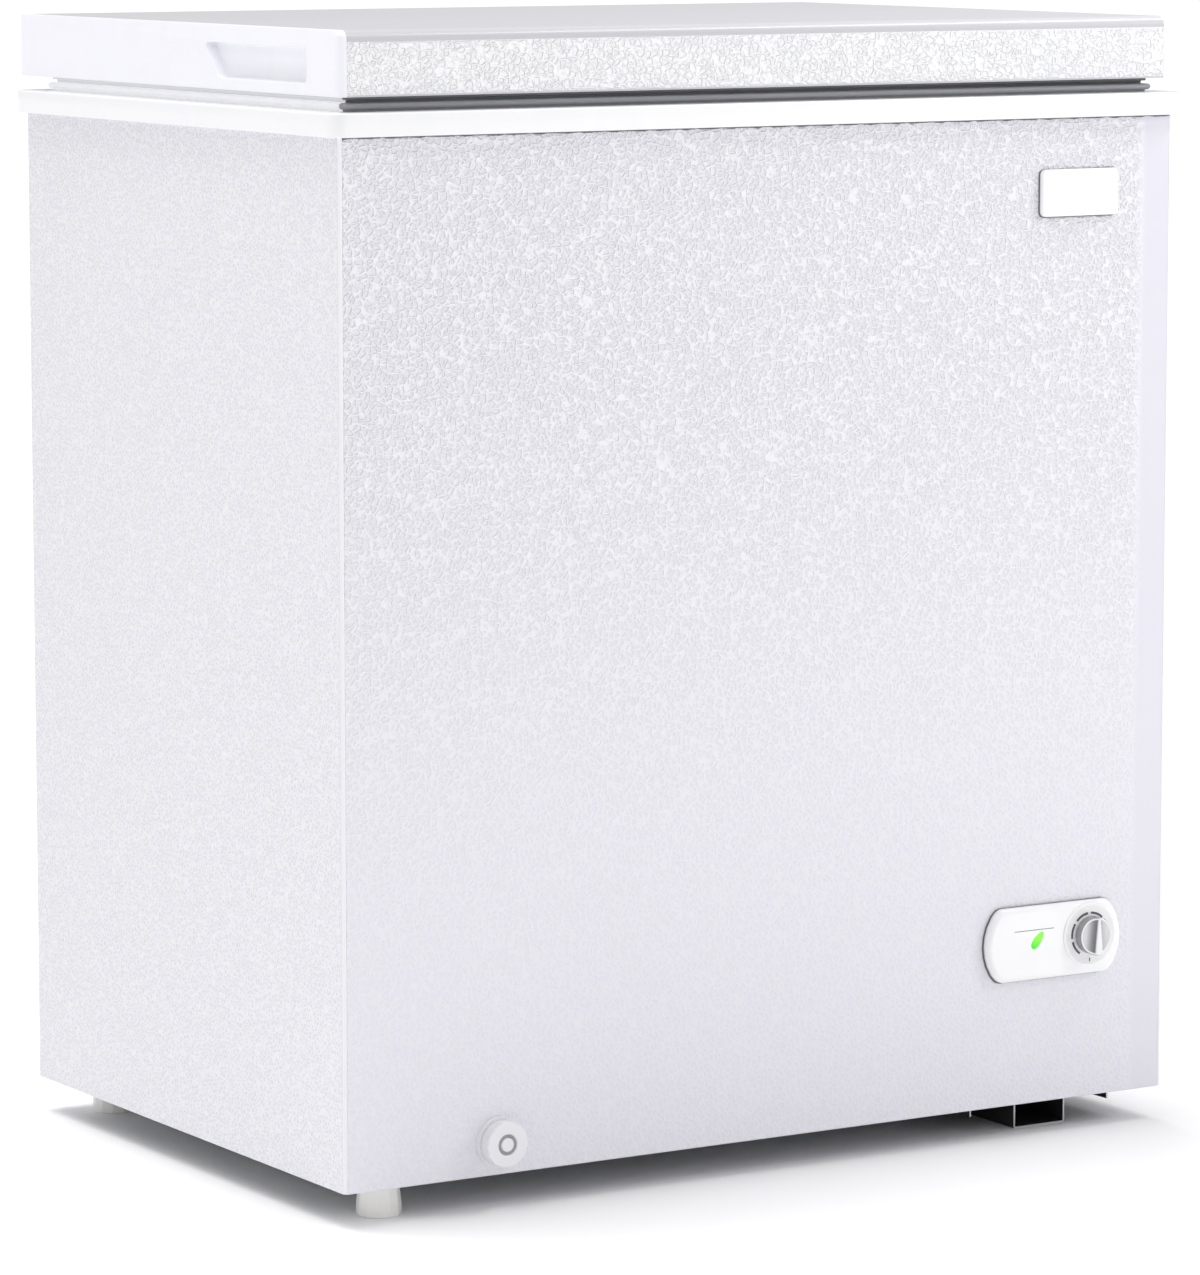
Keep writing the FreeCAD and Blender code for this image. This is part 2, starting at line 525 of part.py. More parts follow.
circle(holes, "lens_x", "lens_z", "lens_wide / 2 - lens_lip")
pocket(control, "PanelHoles", holes, "panel_thick + 1", reverse=True)
keep(control, "control_panel")

PANEL_FACE = f"({FRONT} - panel_thick)"
keep(cut("DialRing", cylinder("DialDisc", "dial_radius", "dial_thick", ("knob_x", PANEL_FACE, "knob_z"), "-Y"),
         cylinder("DialHole", "spindle_radius + knob_gap", "dial_thick + 2",
                  ("knob_x", f"{PANEL_FACE} + 1", "knob_z"), "-Y")), "dial_ring")

lens = doc.addObject("Part::Ellipsoid", "IndicatorLens")
lens.setExpression("Radius1", ex("lens_dome"))
lens.setExpression("Radius2", ex("lens_long / 2"))
lens.setExpression("Radius3", ex("lens_wide / 2"))
lens.Placement = FreeCAD.Placement(V(), TURNS["-Y"].multiply(FreeCAD.Rotation(V(0, 0, 1), value("lens_angle"))))
for axis, place in zip("xyz", ("lens_x", PANEL_FACE, "lens_z")):
    lens.setExpression(f"Placement.Base.{axis}", ex(place))
lens_room = box("LensRoom", "lens_x - lens_long", "lens_x + lens_long", f"{PANEL_FACE} - 4", PANEL_FACE,
                "lens_z - lens_long", "lens_z + lens_long")
lens_cap = doc.addObject("Part::Common", "LensCap")
lens_cap.Base, lens_cap.Tool = lens, lens_room
keep(lens_cap, "indicator_lens")
keep(cylinder("IndicatorLamp", "lamp_radius", "lamp_long", ("lens_x", PANEL_FACE, "lens_z"), "+Y"),
     "indicator_lamp")

THERMO_FRONT = f"({FRONT} + steel)"
thermo_body = box("ThermoCase", "knob_x - thermo_wide / 2", "knob_x + thermo_wide / 2", THERMO_FRONT,
                  f"{THERMO_FRONT} + thermo_deep", "knob_z - thermo_tall / 2", "knob_z + thermo_tall / 2")
thermo_hole = cylinder("ThermoHole", "spindle_radius + spindle_gap", "spindle_in + 3",
                       ("knob_x", f"{THERMO_FRONT} - 1", "knob_z"), "+Y")
thermo_cut = cut("ThermoBored", thermo_body, thermo_hole)
keep(thermo_cut, "thermostat_body")
KNOB_BACK = f"({PANEL_FACE} - dial_thick - knob_gap)"
keep(cylinder("ThermoSpindle", "spindle_radius", 
              f"{THERMO_FRONT} + spindle_in - ({KNOB_BACK} - spindle_seat)",
              ("knob_x", f"{KNOB_BACK} - spindle_seat", "knob_z"), "+Y"), "thermostat_spindle")

KNOB_FACE = f"({KNOB_BACK} - knob_deep)"
knob = new_body("ThermostatKnob")
sk = sketch(knob, "KnobSketch", "XZ", f"-({KNOB_BACK})")
circle(sk, "knob_x", "knob_z", "knob_radius")
feature(knob, "Pad", "KnobPad", sk, "knob_deep")
knob_front = value(KNOB_FACE)
fillet(knob, "KnobEdge", "knob_edge", lambda e: lies_at(e, y=knob_front))
FLANK = "(knob_deep - knob_floor)"
flanks = [cylinder(f"KnobFlank{i}", FLANK, "3 * knob_radius",
                   (f"knob_x {sign} ({FLANK} + flank_offset)", KNOB_FACE, "knob_z - 1.5 * knob_radius"))
          for i, sign in enumerate("+-")]
socket = cylinder("KnobSocket", "spindle_radius", "spindle_seat", ("knob_x", f"{KNOB_BACK} - spindle_seat", "knob_z"),
                  "+Y")
keep(cut("Knob", knob, *flanks, socket), "thermostat_knob")

# ---------------------------------------------------------------- drain
sleeve_flange = cylinder("SleeveFlange", "sleeve_radius", "sleeve_thick",
                         ("drain_x", f"{FRONT} - sleeve_thick", "drain_z"), "+Y")
sleeve_tube = cylinder("SleeveTube", SLEEVE_OUT, f"{SLEEVE_REAR} - {FRONT}", ("drain_x", FRONT, "drain_z"), "+Y")
sleeve_bore = cylinder("SleeveBore", f"{DRAIN_OUT} + drain_gap", f"{SLEEVE_REAR} - {FRONT} + sleeve_thick + 2",
                       ("drain_x", f"{FRONT} - sleeve_thick - 1", "drain_z"), "+Y")
keep(cut("DrainSleeve", fuse("SleeveAll", sleeve_flange, sleeve_tube), sleeve_bore), "drain_sleeve")

SPOUT_FRONT = f"({FRONT} - sleeve_thick - dial_seat)"
spout_outer = cylinder("SpoutOuter", DRAIN_OUT, f"{SLEEVE_REAR} - spout_short - {SPOUT_FRONT}",
                       ("drain_x", SPOUT_FRONT, "drain_z"), "+Y")
spout_inner = cylinder("SpoutInner", "spout_radius", f"{SLEEVE_REAR} - {SPOUT_FRONT}",
                       ("drain_x", f"{SPOUT_FRONT} + spout_wall", "drain_z"), "+Y")
keep(cut("DrainSpout", spout_outer, spout_inner), "drain_spout")

DIAL_BACK = f"({FRONT} - sleeve_thick - drain_gap)"
drain_dial = new_body("DrainDial")
sk = sketch(drain_dial, "DrainDialSketch", "XZ", f"-({DIAL_BACK})")
circle(sk, "drain_x", "drain_z", "dial_face")
feature(drain_dial, "Pad", "DrainDialPad", sk, "dial_deep")
dial_front = value(f"{DIAL_BACK} - dial_deep")
fillet(drain_dial, "DrainDialEdge", "dial_edge", lambda e: lies_at(e, y=dial_front))
ring = sketch(drain_dial, "DrainRingSketch", "XZ", f"-({DIAL_BACK} - dial_deep)")
circle(ring, "drain_x", "drain_z", "hub_outer")
circle(ring, "drain_x", "drain_z", "hub_inner")
pocket(drain_dial, "DrainRing", ring, "ring_deep")
seat = sketch(drain_dial, "DrainSeatSketch", "XZ", f"-({DIAL_BACK})")
circle(seat, "drain_x", "drain_z", f"{DRAIN_OUT} + drain_gap")
pocket(drain_dial, "DrainSeat", seat, "dial_seat", reverse=True)
keep(drain_dial, "drain_dial")

plug_head = cylinder("PlugHead", "plug_radius", "plug_tall", ("drain_x", "drain_y", CAV_FLOOR))
plug_stem = cylinder("PlugStem", "spout_radius - drain_gap", "stem_long",
                     ("drain_x", "drain_y", f"{CAV_FLOOR} - stem_long"))
keep(fuse("DrainPlug", plug_head, plug_stem), "inner_drain_plug")

# ---------------------------------------------------------------- feet and compressor base plate
for label, place in (("front_left_foot", "foot_front"), ("rear_left_foot", "foot_rear")):
    foot = new_body("Foot" + place.title().replace("_", ""))
    sk = sketch(foot, foot.Name + "Sketch", "XY")
    sides = 12
    ring_points = [(f"foot_x + foot_radius * cos({360 * i / sides})", f"{place} + foot_radius * sin({360 * i / sides})")
                   for i in range(sides)]
    outline(sk, ring_points)
    pad = feature(foot, "Pad", foot.Name + "Pad", sk, "foot_height")
    pad.TaperAngle = -math.degrees(math.atan(value("foot_taper") / value("foot_height")))
    hole = sketch(foot, foot.Name + "Hole", "XY")
    circle(hole, "foot_x", place, "foot_screw")
    pocket(foot, foot.Name + "Well", hole, "foot_height - foot_web", reverse=True)
    shank_hole = sketch(foot, foot.Name + "ShankHole", "XY")
    circle(shank_hole, "foot_x", place, "foot_shank + seam_gap")
    pocket(foot, foot.Name + "Web", shank_hole, "foot_height + 1", reverse=True)
    keep(foot, label)
feet_screws = [
    fuse(f"FootScrew{i}",
         cylinder(f"FootScrewHead{i}", "foot_screw - drain_gap", "3", ("foot_x", place, "foot_height - foot_web - 3")),
         cylinder(f"FootScrewShank{i}", "foot_shank", "screw_long", ("foot_x", place, "foot_height - foot_web - 1")))
    for i, place in enumerate(("foot_front", "foot_rear"))]
keep(group("FootScrews", *feet_screws), "foot_screws")

plate = new_body("BasePlate")
sk = sketch(plate, "BasePlateSketch", "XZ", "-plate_rear")


def plate_profile():
    """Half profile from the outer lip to the channel, then its mirror image."""
    half, hollow, skin = "plate_wide / 2", "channel_wide / 2", "plate_sheet"
    right = [(half, f"{BASE} - plate_lip"), (half, BASE), (f"{hollow} - {skin}", BASE),
             (f"{hollow} - {skin}", skin)]
    inner = [(hollow, "0"), (hollow, f"{BASE} - {skin}"), (f"{half} - {skin}", f"{BASE} - {skin}"),
             (f"{half} - {skin}", f"{BASE} - plate_lip")]
    top = [(f"plate_x + {x}", z) for x, z in right] + [(f"plate_x - ({x})", z) for x, z in reversed(right)]
    low = [(f"plate_x - ({x})", z) for x, z in reversed(inner)] + [(f"plate_x + {x}", z) for x, z in inner]
    return top + low


outline(sk, plate_profile())
feature(plate, "Pad", "BasePlatePad", sk, "plate_rear - plate_front")
keep(plate, "compressor_base_plate")
screws = []
for i, (x, y) in enumerate([(a, b) for a in ("-", "+") for b in ("plate_front + 5", "plate_rear - 5")]):
    at_x = f"plate_x {x} (plate_wide / 2 - 14)"
    head = cylinder(f"PlateScrewHead{i}", "screw_head", "head_thick", (at_x, y, f"{BASE} - plate_sheet - head_thick"))
    screws.append(head)
keep(group("PlateScrews", *screws), "base_plate_screws")

# ---------------------------------------------------------------- compressor and refrigeration
COMP_LOW = f"({BASE} + comp_lift)"
SHELL_LOW = f"({COMP_LOW} + shell_lift)"
SHELL_TOP = f"({SHELL_LOW} + comp_tall)"
shell = new_body("Compressor")
sk = sketch(shell, "ShellSketch", "XY", SHELL_LOW)
circle(sk, "plate_x", "comp_y", "comp_radius")
feature(shell, "Pad", "ShellPad", sk, "comp_tall")
shell_top, shell_low = value(SHELL_TOP), value(SHELL_LOW)
fillet(shell, "ShellTop", "comp_radius * 0.55", lambda e: lies_at(e, z=shell_top))
fillet(shell, "ShellBottom", "comp_radius * 0.35", lambda e: lies_at(e, z=shell_low))
seam = cylinder("ShellSeam", "comp_radius + seam_proud", "seam_tall", ("plate_x", "comp_y", f"{COMP_LOW} + comp_tall / 2"))
legs = box("ShellLegs", "plate_x - bolt_x - leg_margin", "plate_x + bolt_x + leg_margin",
           "comp_y - bolt_y - leg_margin", "comp_y + bolt_y + leg_margin", COMP_LOW, f"{COMP_LOW} + leg_sheet")
skirt = cylinder("ShellSkirt", "comp_radius * 0.6", "comp_radius * 0.3", ("plate_x", "comp_y", f"{COMP_LOW} + 2"))
bolt_spots = [(f"plate_x {a} bolt_x", f"comp_y {b} bolt_y") for a in "+-" for b in "+-"]
leg_holes = [cylinder(f"LegHole{i}", "leg_hole", "2 * leg_sheet + 2", (x, y, f"{COMP_LOW} - 2"))
             for i, (x, y) in enumerate(bolt_spots)]
keep(cut("CompressorShell", fuse("ShellAll", shell, seam, legs, skirt), *leg_holes), "compressor_shell")
grommets, bolts = [], []
for i, (x, y) in enumerate(bolt_spots):
    grommets.append(cut(f"Grommet{i}", cylinder(f"GrommetBody{i}", "grommet_radius", "comp_lift", (x, y, BASE)),
                        cylinder(f"GrommetBore{i}", "leg_hole", "comp_lift + 2", (x, y, f"{BASE} - 1"))))
    bolts.append(fuse(f"Bolt{i}",
                      cylinder(f"BoltShank{i}", "bolt_radius", "comp_lift + leg_sheet + 2", (x, y, BASE)),
                      cylinder(f"BoltHead{i}", "bolt_head", "bolt_radius", (x, y, f"{COMP_LOW} + leg_sheet"))))
keep(group("Grommets", *grommets), "compressor_grommets")
keep(group("Bolts", *bolts), "compressor_bolts")
relay_block = box("RelayBlock", "plate_x - relay_wide / 2", "plate_x + relay_wide / 2",
                  "comp_y - comp_radius - relay_deep", "comp_y - comp_radius + seam_proud",
                  f"{COMP_LOW} + comp_tall * 0.28", f"{COMP_LOW} + comp_tall * 0.75")
shell_room = cylinder("RelayRoom", "comp_radius + seam_proud + seam_gap", "comp_tall", ("plate_x", "comp_y", SHELL_LOW))
keep(cut("RelayCover", relay_block, shell_room), "compressor_relay_cover")

shell_x, shell_y = value("plate_x"), value("comp_y")
tube, coil = value("pipe_radius"), value("tube_radius")
side_in, rear_in = value("cab_width / 2 - steel"), value("cab_depth / 2 - 2 * steel")
bay_top, step_top, rim_under = value(BAY_TOP), value(STEP_TOP), value(RIM_UNDER)
comp_level = value(f"{COMP_LOW} + comp_tall * 0.7")
comp_edge = value("comp_radius")


def on_back(x, z):
    return (x, rear_in - coil - 2, z)


rows = serpentine((-side_in + 30, side_in - 62), (step_top + 30, rim_under - 45), on_back, 70)
start_x = side_in - 30
condenser = [(shell_x + 20, shell_y + comp_edge - 14, comp_level), (shell_x + 20, rear_in - 60, comp_level),
             (start_x, rear_in - 60, comp_level), (start_x, rear_in - 60, bay_top - 20),
             (start_x, rear_in - coil - 2, bay_top - 20), on_back(start_x, rim_under - 45)] + rows[::-1]
condenser.append(on_back(rows[0][0], step_top - 10))
keep(pipe("Condenser", condenser, 8, coil), "condenser_tube")

loop_x = value(f"{CAV_SIDE} + liner_sheet + tube_radius + coil_gap")
loop_y = value(f"{CAV_REAR} + liner_sheet + tube_radius + coil_gap")
low_turn, turn_step, turns = step_top + 40, value("coil_pitch"), 5
evaporator = [(loop_x, loop_y, low_turn - 30)]
for turn in range(turns):
    level = low_turn + turn * turn_step
    evaporator += [(loop_x, loop_y, level), (-loop_x, loop_y, level), (-loop_x, -loop_y, level),
                   (loop_x, -loop_y, level + turn_step / 2)]
evaporator.append((loop_x, loop_y - 40, low_turn + turns * turn_step - turn_step / 2))
keep(pipe("Evaporator", evaporator, 6, coil), "evaporator_tube")

suction = [(shell_x - 10, shell_y + comp_edge - 14, comp_level), (shell_x - 10, shell_y + comp_edge + 40, comp_level),
           (shell_x - 10, shell_y + comp_edge + 40, bay_top + 25), (loop_x - 4, shell_y + comp_edge + 40, bay_top + 25),
           (loop_x + 16, shell_y + comp_edge + 40, bay_top + 60), (loop_x + 16, loop_y, bay_top + 60),
           (loop_x + 16, loop_y, low_turn - 30)]
keep(pipe("SuctionPipe", suction, 9, tube), "suction_pipe")

DRIER = ("plate_x + bolt_x + 24", "comp_y + comp_radius + 22")
drier_x, drier_y = value(DRIER[0]), value(DRIER[1])
drier_low = value(f"{BASE} + drier_lift")
drier = new_body("FilterDrier")
sk = sketch(drier, "DrierSketch", "XY", f"{BASE} + drier_lift")
circle(sk, *DRIER, "drier_radius")
feature(drier, "Pad", "DrierPad", sk, "drier_long")
fillet(drier, "DrierEnds", "drier_radius * 0.7", lambda e: e.Curve.TypeId == "Part::GeomCircle")
keep(drier, "filter_drier")
capillary = [(drier_x, drier_y, drier_low + 2), (drier_x, drier_y, drier_low - 14),
             (drier_x, drier_y - 60, drier_low - 14), (drier_x, drier_y - 60, bay_top + 28),
             (loop_x + 8, drier_y - 60, bay_top + 28), (loop_x + 8, drier_y - 60, low_turn + 20)]
keep(pipe("Capillary", capillary, 6, 1.2), "capillary_tube")

# ---------------------------------------------------------------- vents, rear cover, cord gland
grille = box("GrilleBody", SIDE, f"{SIDE} + grille_thick", GRILLE_Y0, GRILLE_Y1, GRILLE_Z0, GRILLE_Z1)
slot_count = int((value("grille_tall") - 22) / value("slot_pitch")) + 1
grille_slots = [
    box(f"GrilleSlot{i}", f"{SIDE} - 1", f"{SIDE} + grille_thick + 1", f"{GRILLE_Y0} + slot_inset",
        f"{GRILLE_Y1} - slot_inset", f"{GRILLE_Z0} + slot_first + {i} * slot_pitch",
        f"{GRILLE_Z0} + slot_first + {i} * slot_pitch + slot_tall")
    for i in range(slot_count)]
keep(cut("Grille", grille, *grille_slots), "side_vent_grille")

cover = box("CoverSheet", COVER_LEFT, COVER_RIGHT, REAR, f"{REAR} + cover_sheet", COVER_LOW, COVER_HIGH)
cover_rows = int((value(f"{COVER_HIGH} - {COVER_LOW}") - 90) / value("slot_pitch"))
cover_slots = [
    box(f"CoverSlot{i}", f"{COVER_LEFT} + cover_slot_inset", f"{COVER_RIGHT} - cover_slot_inset", f"{REAR} - 1",
        f"{REAR} + cover_sheet + 1", f"{COVER_HIGH} - cover_slot_inset - {i} * slot_pitch",
        f"{COVER_HIGH} - cover_slot_inset - {i} * slot_pitch + slot_tall")
    for i in range(cover_rows)]
GLAND_X, GLAND_Z = f"{COVER_RIGHT} - 3 * gland_flange", f"{COVER_LOW} + 2.4 * gland_flange"
gland_hole = cylinder("GlandHole", "gland_radius", "6", (GLAND_X, f"{REAR} - 2", GLAND_Z), "+Y")
keep(cut("RearCover", cover, *cover_slots, gland_hole), "rear_compartment_cover")
gland_barrel = cylinder("GlandBarrel", "gland_radius", "gland_long", (GLAND_X, f"{REAR} - 6", GLAND_Z), "+Y")
gland_disc = cylinder("GlandFlange", "gland_flange", "2.5", (GLAND_X, f"{REAR} + cover_sheet", GLAND_Z), "+Y")
gland_bore = cylinder("GlandBore", "gland_bore", "2 * gland_long", (GLAND_X, f"{REAR} - gland_long", GLAND_Z), "+Y")
keep(cut("CordGland", fuse("GlandAll", gland_barrel, gland_disc), gland_bore), "cord_gland")
cover_screws = []
for i, (x, z) in enumerate([(x, z) for x in (f"{COVER_LEFT} + cover_lap / 2", f"{COVER_RIGHT} - cover_lap / 2")
                            for z in (f"{COVER_LOW} + cover_lap / 2", f"{COVER_HIGH} - cover_lap / 2")]):
    cover_screws.append(cylinder(f"CoverScrew{i}", "cover_screw", "2", (x, f"{REAR} + cover_sheet", z), "+Y"))
keep(group("CoverScrews", *cover_screws), "rear_cover_screws")

# ---------------------------------------------------------------- lid
CAP_IN = "(cab_width / 2 - lid_inset - cap_width)"


def lid_profile(name, x0, x1, inset, low):
    """A block the length of the lid piece with the lid's front and rear top edges rounded."""
    body = slab(name, x0, x1, f"{LID_FRONT} + {inset}", f"{LID_REAR} - {inset}", low, f"{LID_TOP} - {inset}")
    front, rear, top = value(f"{LID_FRONT} + {inset}"), value(f"{LID_REAR} - {inset}"), value(f"{LID_TOP} - {inset}")
    fillet(body, name + "FrontRound", f"lid_round - {inset}", lambda e: lies_at(e, y=front, z=top))
    fillet(body, name + "RearRound", f"cap_side_round - {inset}", lambda e: lies_at(e, y=rear, z=top))
    return body


skin_outer = lid_profile("LidSkinOuter", f"-{CAP_IN}", CAP_IN, "0", LID_UNDER)
skin_inner = lid_profile("LidSkinInner", f"-{CAP_IN} - 1", f"{CAP_IN} + 1", "steel", f"{LID_UNDER} - 1")
keep(cut("LidSkin", skin_outer, skin_inner), "lid_outer_skin")

PAN_SIDE = "(cab_width / 2 - gasket_inset - gasket_wide - 14)"
PAN_Y = "(cab_depth / 2 - gasket_inset - gasket_wide - 14)"
foam_core = lid_profile("LidFoamCore", f"-{CAP_IN}", CAP_IN, "steel", f"{LID_UNDER} + lid_pan")
pan_fill = box("PanFill", f"-({PAN_SIDE} - lid_pan)", f"{PAN_SIDE} - lid_pan", f"-({PAN_Y} - lid_pan)",
               f"{PAN_Y} - lid_pan", f"{LID_UNDER} - pan_drop + lid_pan", f"{LID_UNDER} + lid_pan")
keep(fuse("LidFoam", foam_core, pan_fill), "lid_foam")
pan_plate = box("PanPlate", f"-{CAP_IN}", CAP_IN, f"{LID_FRONT} + steel", f"{LID_REAR} - steel", LID_UNDER,
                f"{LID_UNDER} + lid_pan")
pan_drop = box("PanDrop", f"-{PAN_SIDE}", PAN_SIDE, f"-{PAN_Y}", PAN_Y, f"{LID_UNDER} - pan_drop", LID_UNDER)
keep(cut("LidInner", fuse("PanAll", pan_plate, pan_drop),
         box("PanHollow", f"-({PAN_SIDE} - lid_pan)", f"{PAN_SIDE} - lid_pan", f"-({PAN_Y} - lid_pan)",
             f"{PAN_Y} - lid_pan", f"{LID_UNDER} - pan_drop + lid_pan", f"{LID_UNDER} + lid_pan + 1")),
     "lid_inner_panel")


def end_cap(name, side):
    """Moulded lid end with a recessed finger grip near the front."""
    outer, inner = f"({side} * {LID_SIDE})", f"({side} * {CAP_IN})"
    low, high = (outer, inner) if side < 0 else (inner, outer)
    along = lid_profile(name + "Along", low, high, "0", LID_UNDER)
    plan = slab(name + "Plan", low, high, LID_FRONT, LID_REAR, LID_UNDER, LID_TOP)
    outer_x, front_y, rear_y = side * value(LID_SIDE), value(LID_FRONT), value(LID_REAR)
    fillet(plan, name + "FrontCorner", "lid_corner",
           lambda e: runs_along(e, "z") and lies_at(e, x=outer_x, y=front_y))
    fillet(plan, name + "RearCorner", "cap_side_round",
           lambda e: runs_along(e, "z") and lies_at(e, x=outer_x, y=rear_y))
    both = doc.addObject("Part::Common", name + "Block")
    both.Base, both.Tool = along, plan
    grip = new_body(name + "Grip")
    sk = sketch(grip, name + "GripSketch", "YZ", outer)
    near, far = f"{FRONT} + grip_front", f"{FRONT} + grip_front + grip_length"
    low_z, high_z = f"{LID_UNDER} + grip_base", f"{LID_UNDER} + grip_base + grip_tall"
    outline(sk, [(near, low_z), (f"{far} - grip_slant", low_z), (far, high_z), (near, high_z)])
    feature(grip, "Pad", name + "GripPad", sk, "grip_deep", reverse=side > 0)
    low_level = value(low_z)
    fillet(grip, name + "GripCorners", "grip_round", lambda e: runs_along(e, "x") and lies_at(e, z=low_level))
    return cut(name, both, grip)


keep(end_cap("LidLeftCap", -1), "lid_left_end_cap")
keep(end_cap("LidRightCap", 1), "lid_right_end_cap")


def gasket_ring(name, inset, wide, z0, z1):
    """One level of the seal: a rectangular ring inset from the cabinet's faces."""
    near, far = f"({inset})", f"({inset} + {wide})"
    return frame_ring(name,
                      (f"-({SIDE} - {near})", f"{SIDE} - {near}", f"{FRONT} + {near}", f"{REAR} - {near}", z0, z1),
                      (f"-({SIDE} - {far})", f"{SIDE} - {far}", f"{FRONT} + {far}", f"{REAR} - {far}"))


NECK_LOW = f"({LID_UNDER} - neck_tall)"
BULB_LOW = f"({LID_UNDER} - neck_tall - bulb_tall)"
keep(fuse("LidGasket",
          gasket_ring("GasketNeck", "gasket_inset + gasket_neck", "gasket_wide - 2 * gasket_neck", NECK_LOW, LID_UNDER),
          gasket_ring("GasketBulb", "gasket_inset", "gasket_wide", BULB_LOW, NECK_LOW),
          gasket_ring("GasketFoot", "gasket_inset + 3", "gasket_wide - 6", RIM_TOP, BULB_LOW)), "lid_gasket")

# ---------------------------------------------------------------- hinges
BARREL_LOW = "(hinge_z - knuckle)"
leaf_screws, bracket_screws, pins, springs = [], [], [], []
for word, side in (("Left", "-"), ("Right", "+")):
    at = f"({side}hinge_x)"
    half = "hinge_wide / 2"
    leaf_x0, leaf_x1 = f"{at} - leaf_wide / 2", f"{at} + 2"
    leg = box(f"{word}Leg", f"{at} - {half}", f"{at} + {half}", REAR, f"{REAR} + hinge_sheet",
              f"{RIM_UNDER} - leg_down", f"{RIM_UNDER} - 2")
    shelf_y1 = "hinge_y - knuckle + hinge_sheet"
    ledge = box(f"{word}Shelf", f"{at} - {half}", f"{at} + {half}", REAR, shelf_y1,
                f"{RIM_UNDER} - 2 - hinge_sheet", f"{RIM_UNDER} - 2")
    upright = box(f"{word}Upright", f"{at} - {half}", f"{at} + {half}", "hinge_y - knuckle", shelf_y1,
                  f"{RIM_UNDER} - 2 - hinge_sheet", f"{BARREL_LOW} - 1")
    pieces = [leg, ledge, upright]
    outer_spans = ((f"{at} - {half}", f"{leaf_x0} - 0.4"), (f"{at} + leaf_wide / 2", f"{at} + {half}"))
    for i, (low, high) in enumerate(outer_spans):
        pieces.append(box(f"{word}Tab{i}", low, high, "hinge_y - knuckle", shelf_y1, f"{BARREL_LOW} - 1", "hinge_z"))
        pieces.append(cylinder(f"{word}Barrel{i}", "knuckle", f"({high}) - ({low})", (low, "hinge_y", "hinge_z"),
                               "+X"))
    bore = cylinder(f"{word}BracketBore", "pin_radius", "hinge_wide + 2",
                    (f"{at} - {half} - 1", "hinge_y", "hinge_z"), "+X")
    keep(cut(f"{word}Bracket", fuse(f"{word}BracketAll", *pieces), bore), f"{word.lower()}_hinge_bracket")
    pins.append(cylinder(f"{word}Pin", "pin_radius", "hinge_wide", (f"{at} - {half}", "hinge_y", "hinge_z"), "+X"))

    leaf = box(f"{word}LeafPlate", f"{at} - {half} + 4", f"{at} + {half} - 4", LID_REAR, f"{LID_REAR} + hinge_sheet",
               f"{LID_UNDER} + 3", f"{LID_UNDER} + 3 + leaf_up - 6")
    neck = box(f"{word}LeafNeck", leaf_x0, leaf_x1, LID_REAR, f"{LID_REAR} + hinge_sheet", "hinge_z",
               f"{LID_UNDER} + 4")
    barrel = cylinder(f"{word}LeafBarrel", "knuckle", f"({leaf_x1}) - ({leaf_x0})",
                      (leaf_x0, "hinge_y", "hinge_z"), "+X")
    leaf_bore = cylinder(f"{word}LeafBore", "pin_radius + pin_gap", "leaf_wide + 4",
                         (f"{leaf_x0} - 1", "hinge_y", "hinge_z"), "+X")
    keep(cut(f"{word}Leaf", fuse(f"{word}LeafAll", leaf, neck, barrel), leaf_bore), f"{word.lower()}_hinge_leaf")

    for i in range(6):
        ring_obj = doc.addObject("Part::Torus", f"{word}SpringTurn{i}")
        ring_obj.setExpression("Radius1", ex("spring_radius"))
        ring_obj.setExpression("Radius2", ex("spring_wire"))
        ring_obj.Placement = FreeCAD.Placement(V(), TURNS["+X"])
        for axis, place in zip("xyz", (f"{at} + 3.6 + {i} * 2.2 * spring_wire", "hinge_y", "hinge_z")):
            ring_obj.setExpression(f"Placement.Base.{axis}", ex(place))
        springs.append(ring_obj)
    for i, (x, drop) in enumerate([(x, d) for x in ("-", "+") for d in ("14", "44")]):
        spot = (f"{at} {x} 22", f"{REAR} + hinge_sheet", f"{RIM_UNDER} - {drop}")
        bracket_screws.append(cylinder(f"{word}BracketScrew{i}", "screw_head", "head_thick", spot, "+Y"))
    for i, (x, rise) in enumerate([(x, d) for x in ("-", "+") for d in ("12", "30")]):
        spot = (f"{at} {x} 22", f"{LID_REAR} + hinge_sheet", f"{LID_UNDER} + {rise}")
        leaf_screws.append(cylinder(f"{word}LeafScrew{i}", "screw_head", "head_thick", spot, "+Y"))
keep(group("HingePins", *pins), "hinge_pins")
keep(group("HingeSprings", *springs), "hinge_springs")
keep(group("BracketScrews", *bracket_screws), "hinge_bracket_screws")
keep(group("LeafScrews", *leaf_screws), "hinge_leaf_screws")

# ---------------------------------------------------------------- basket
RAIL_LOW = f"({RIM_TOP} - ledge)"
BASKET_TOP = f"({RIM_TOP} - ledge + rail_wire)"
BASKET_LOW = f"({BASKET_TOP} - basket_tall)"
BASKET_RIGHT = f"({CAV_SIDE} - basket_gap)"
BASKET_LEFT = f"({CAV_SIDE} - basket_gap - basket_wide)"
BASKET_Y = f"({CAV_REAR} - basket_gap)"


def spread(low, high, pitch):
    """Places from low to high, evenly spaced at about the pitch."""
    count = max(2, round((high - low) / pitch) + 1)
    return [low + (high - low) * i / (count - 1) for i in range(count)]


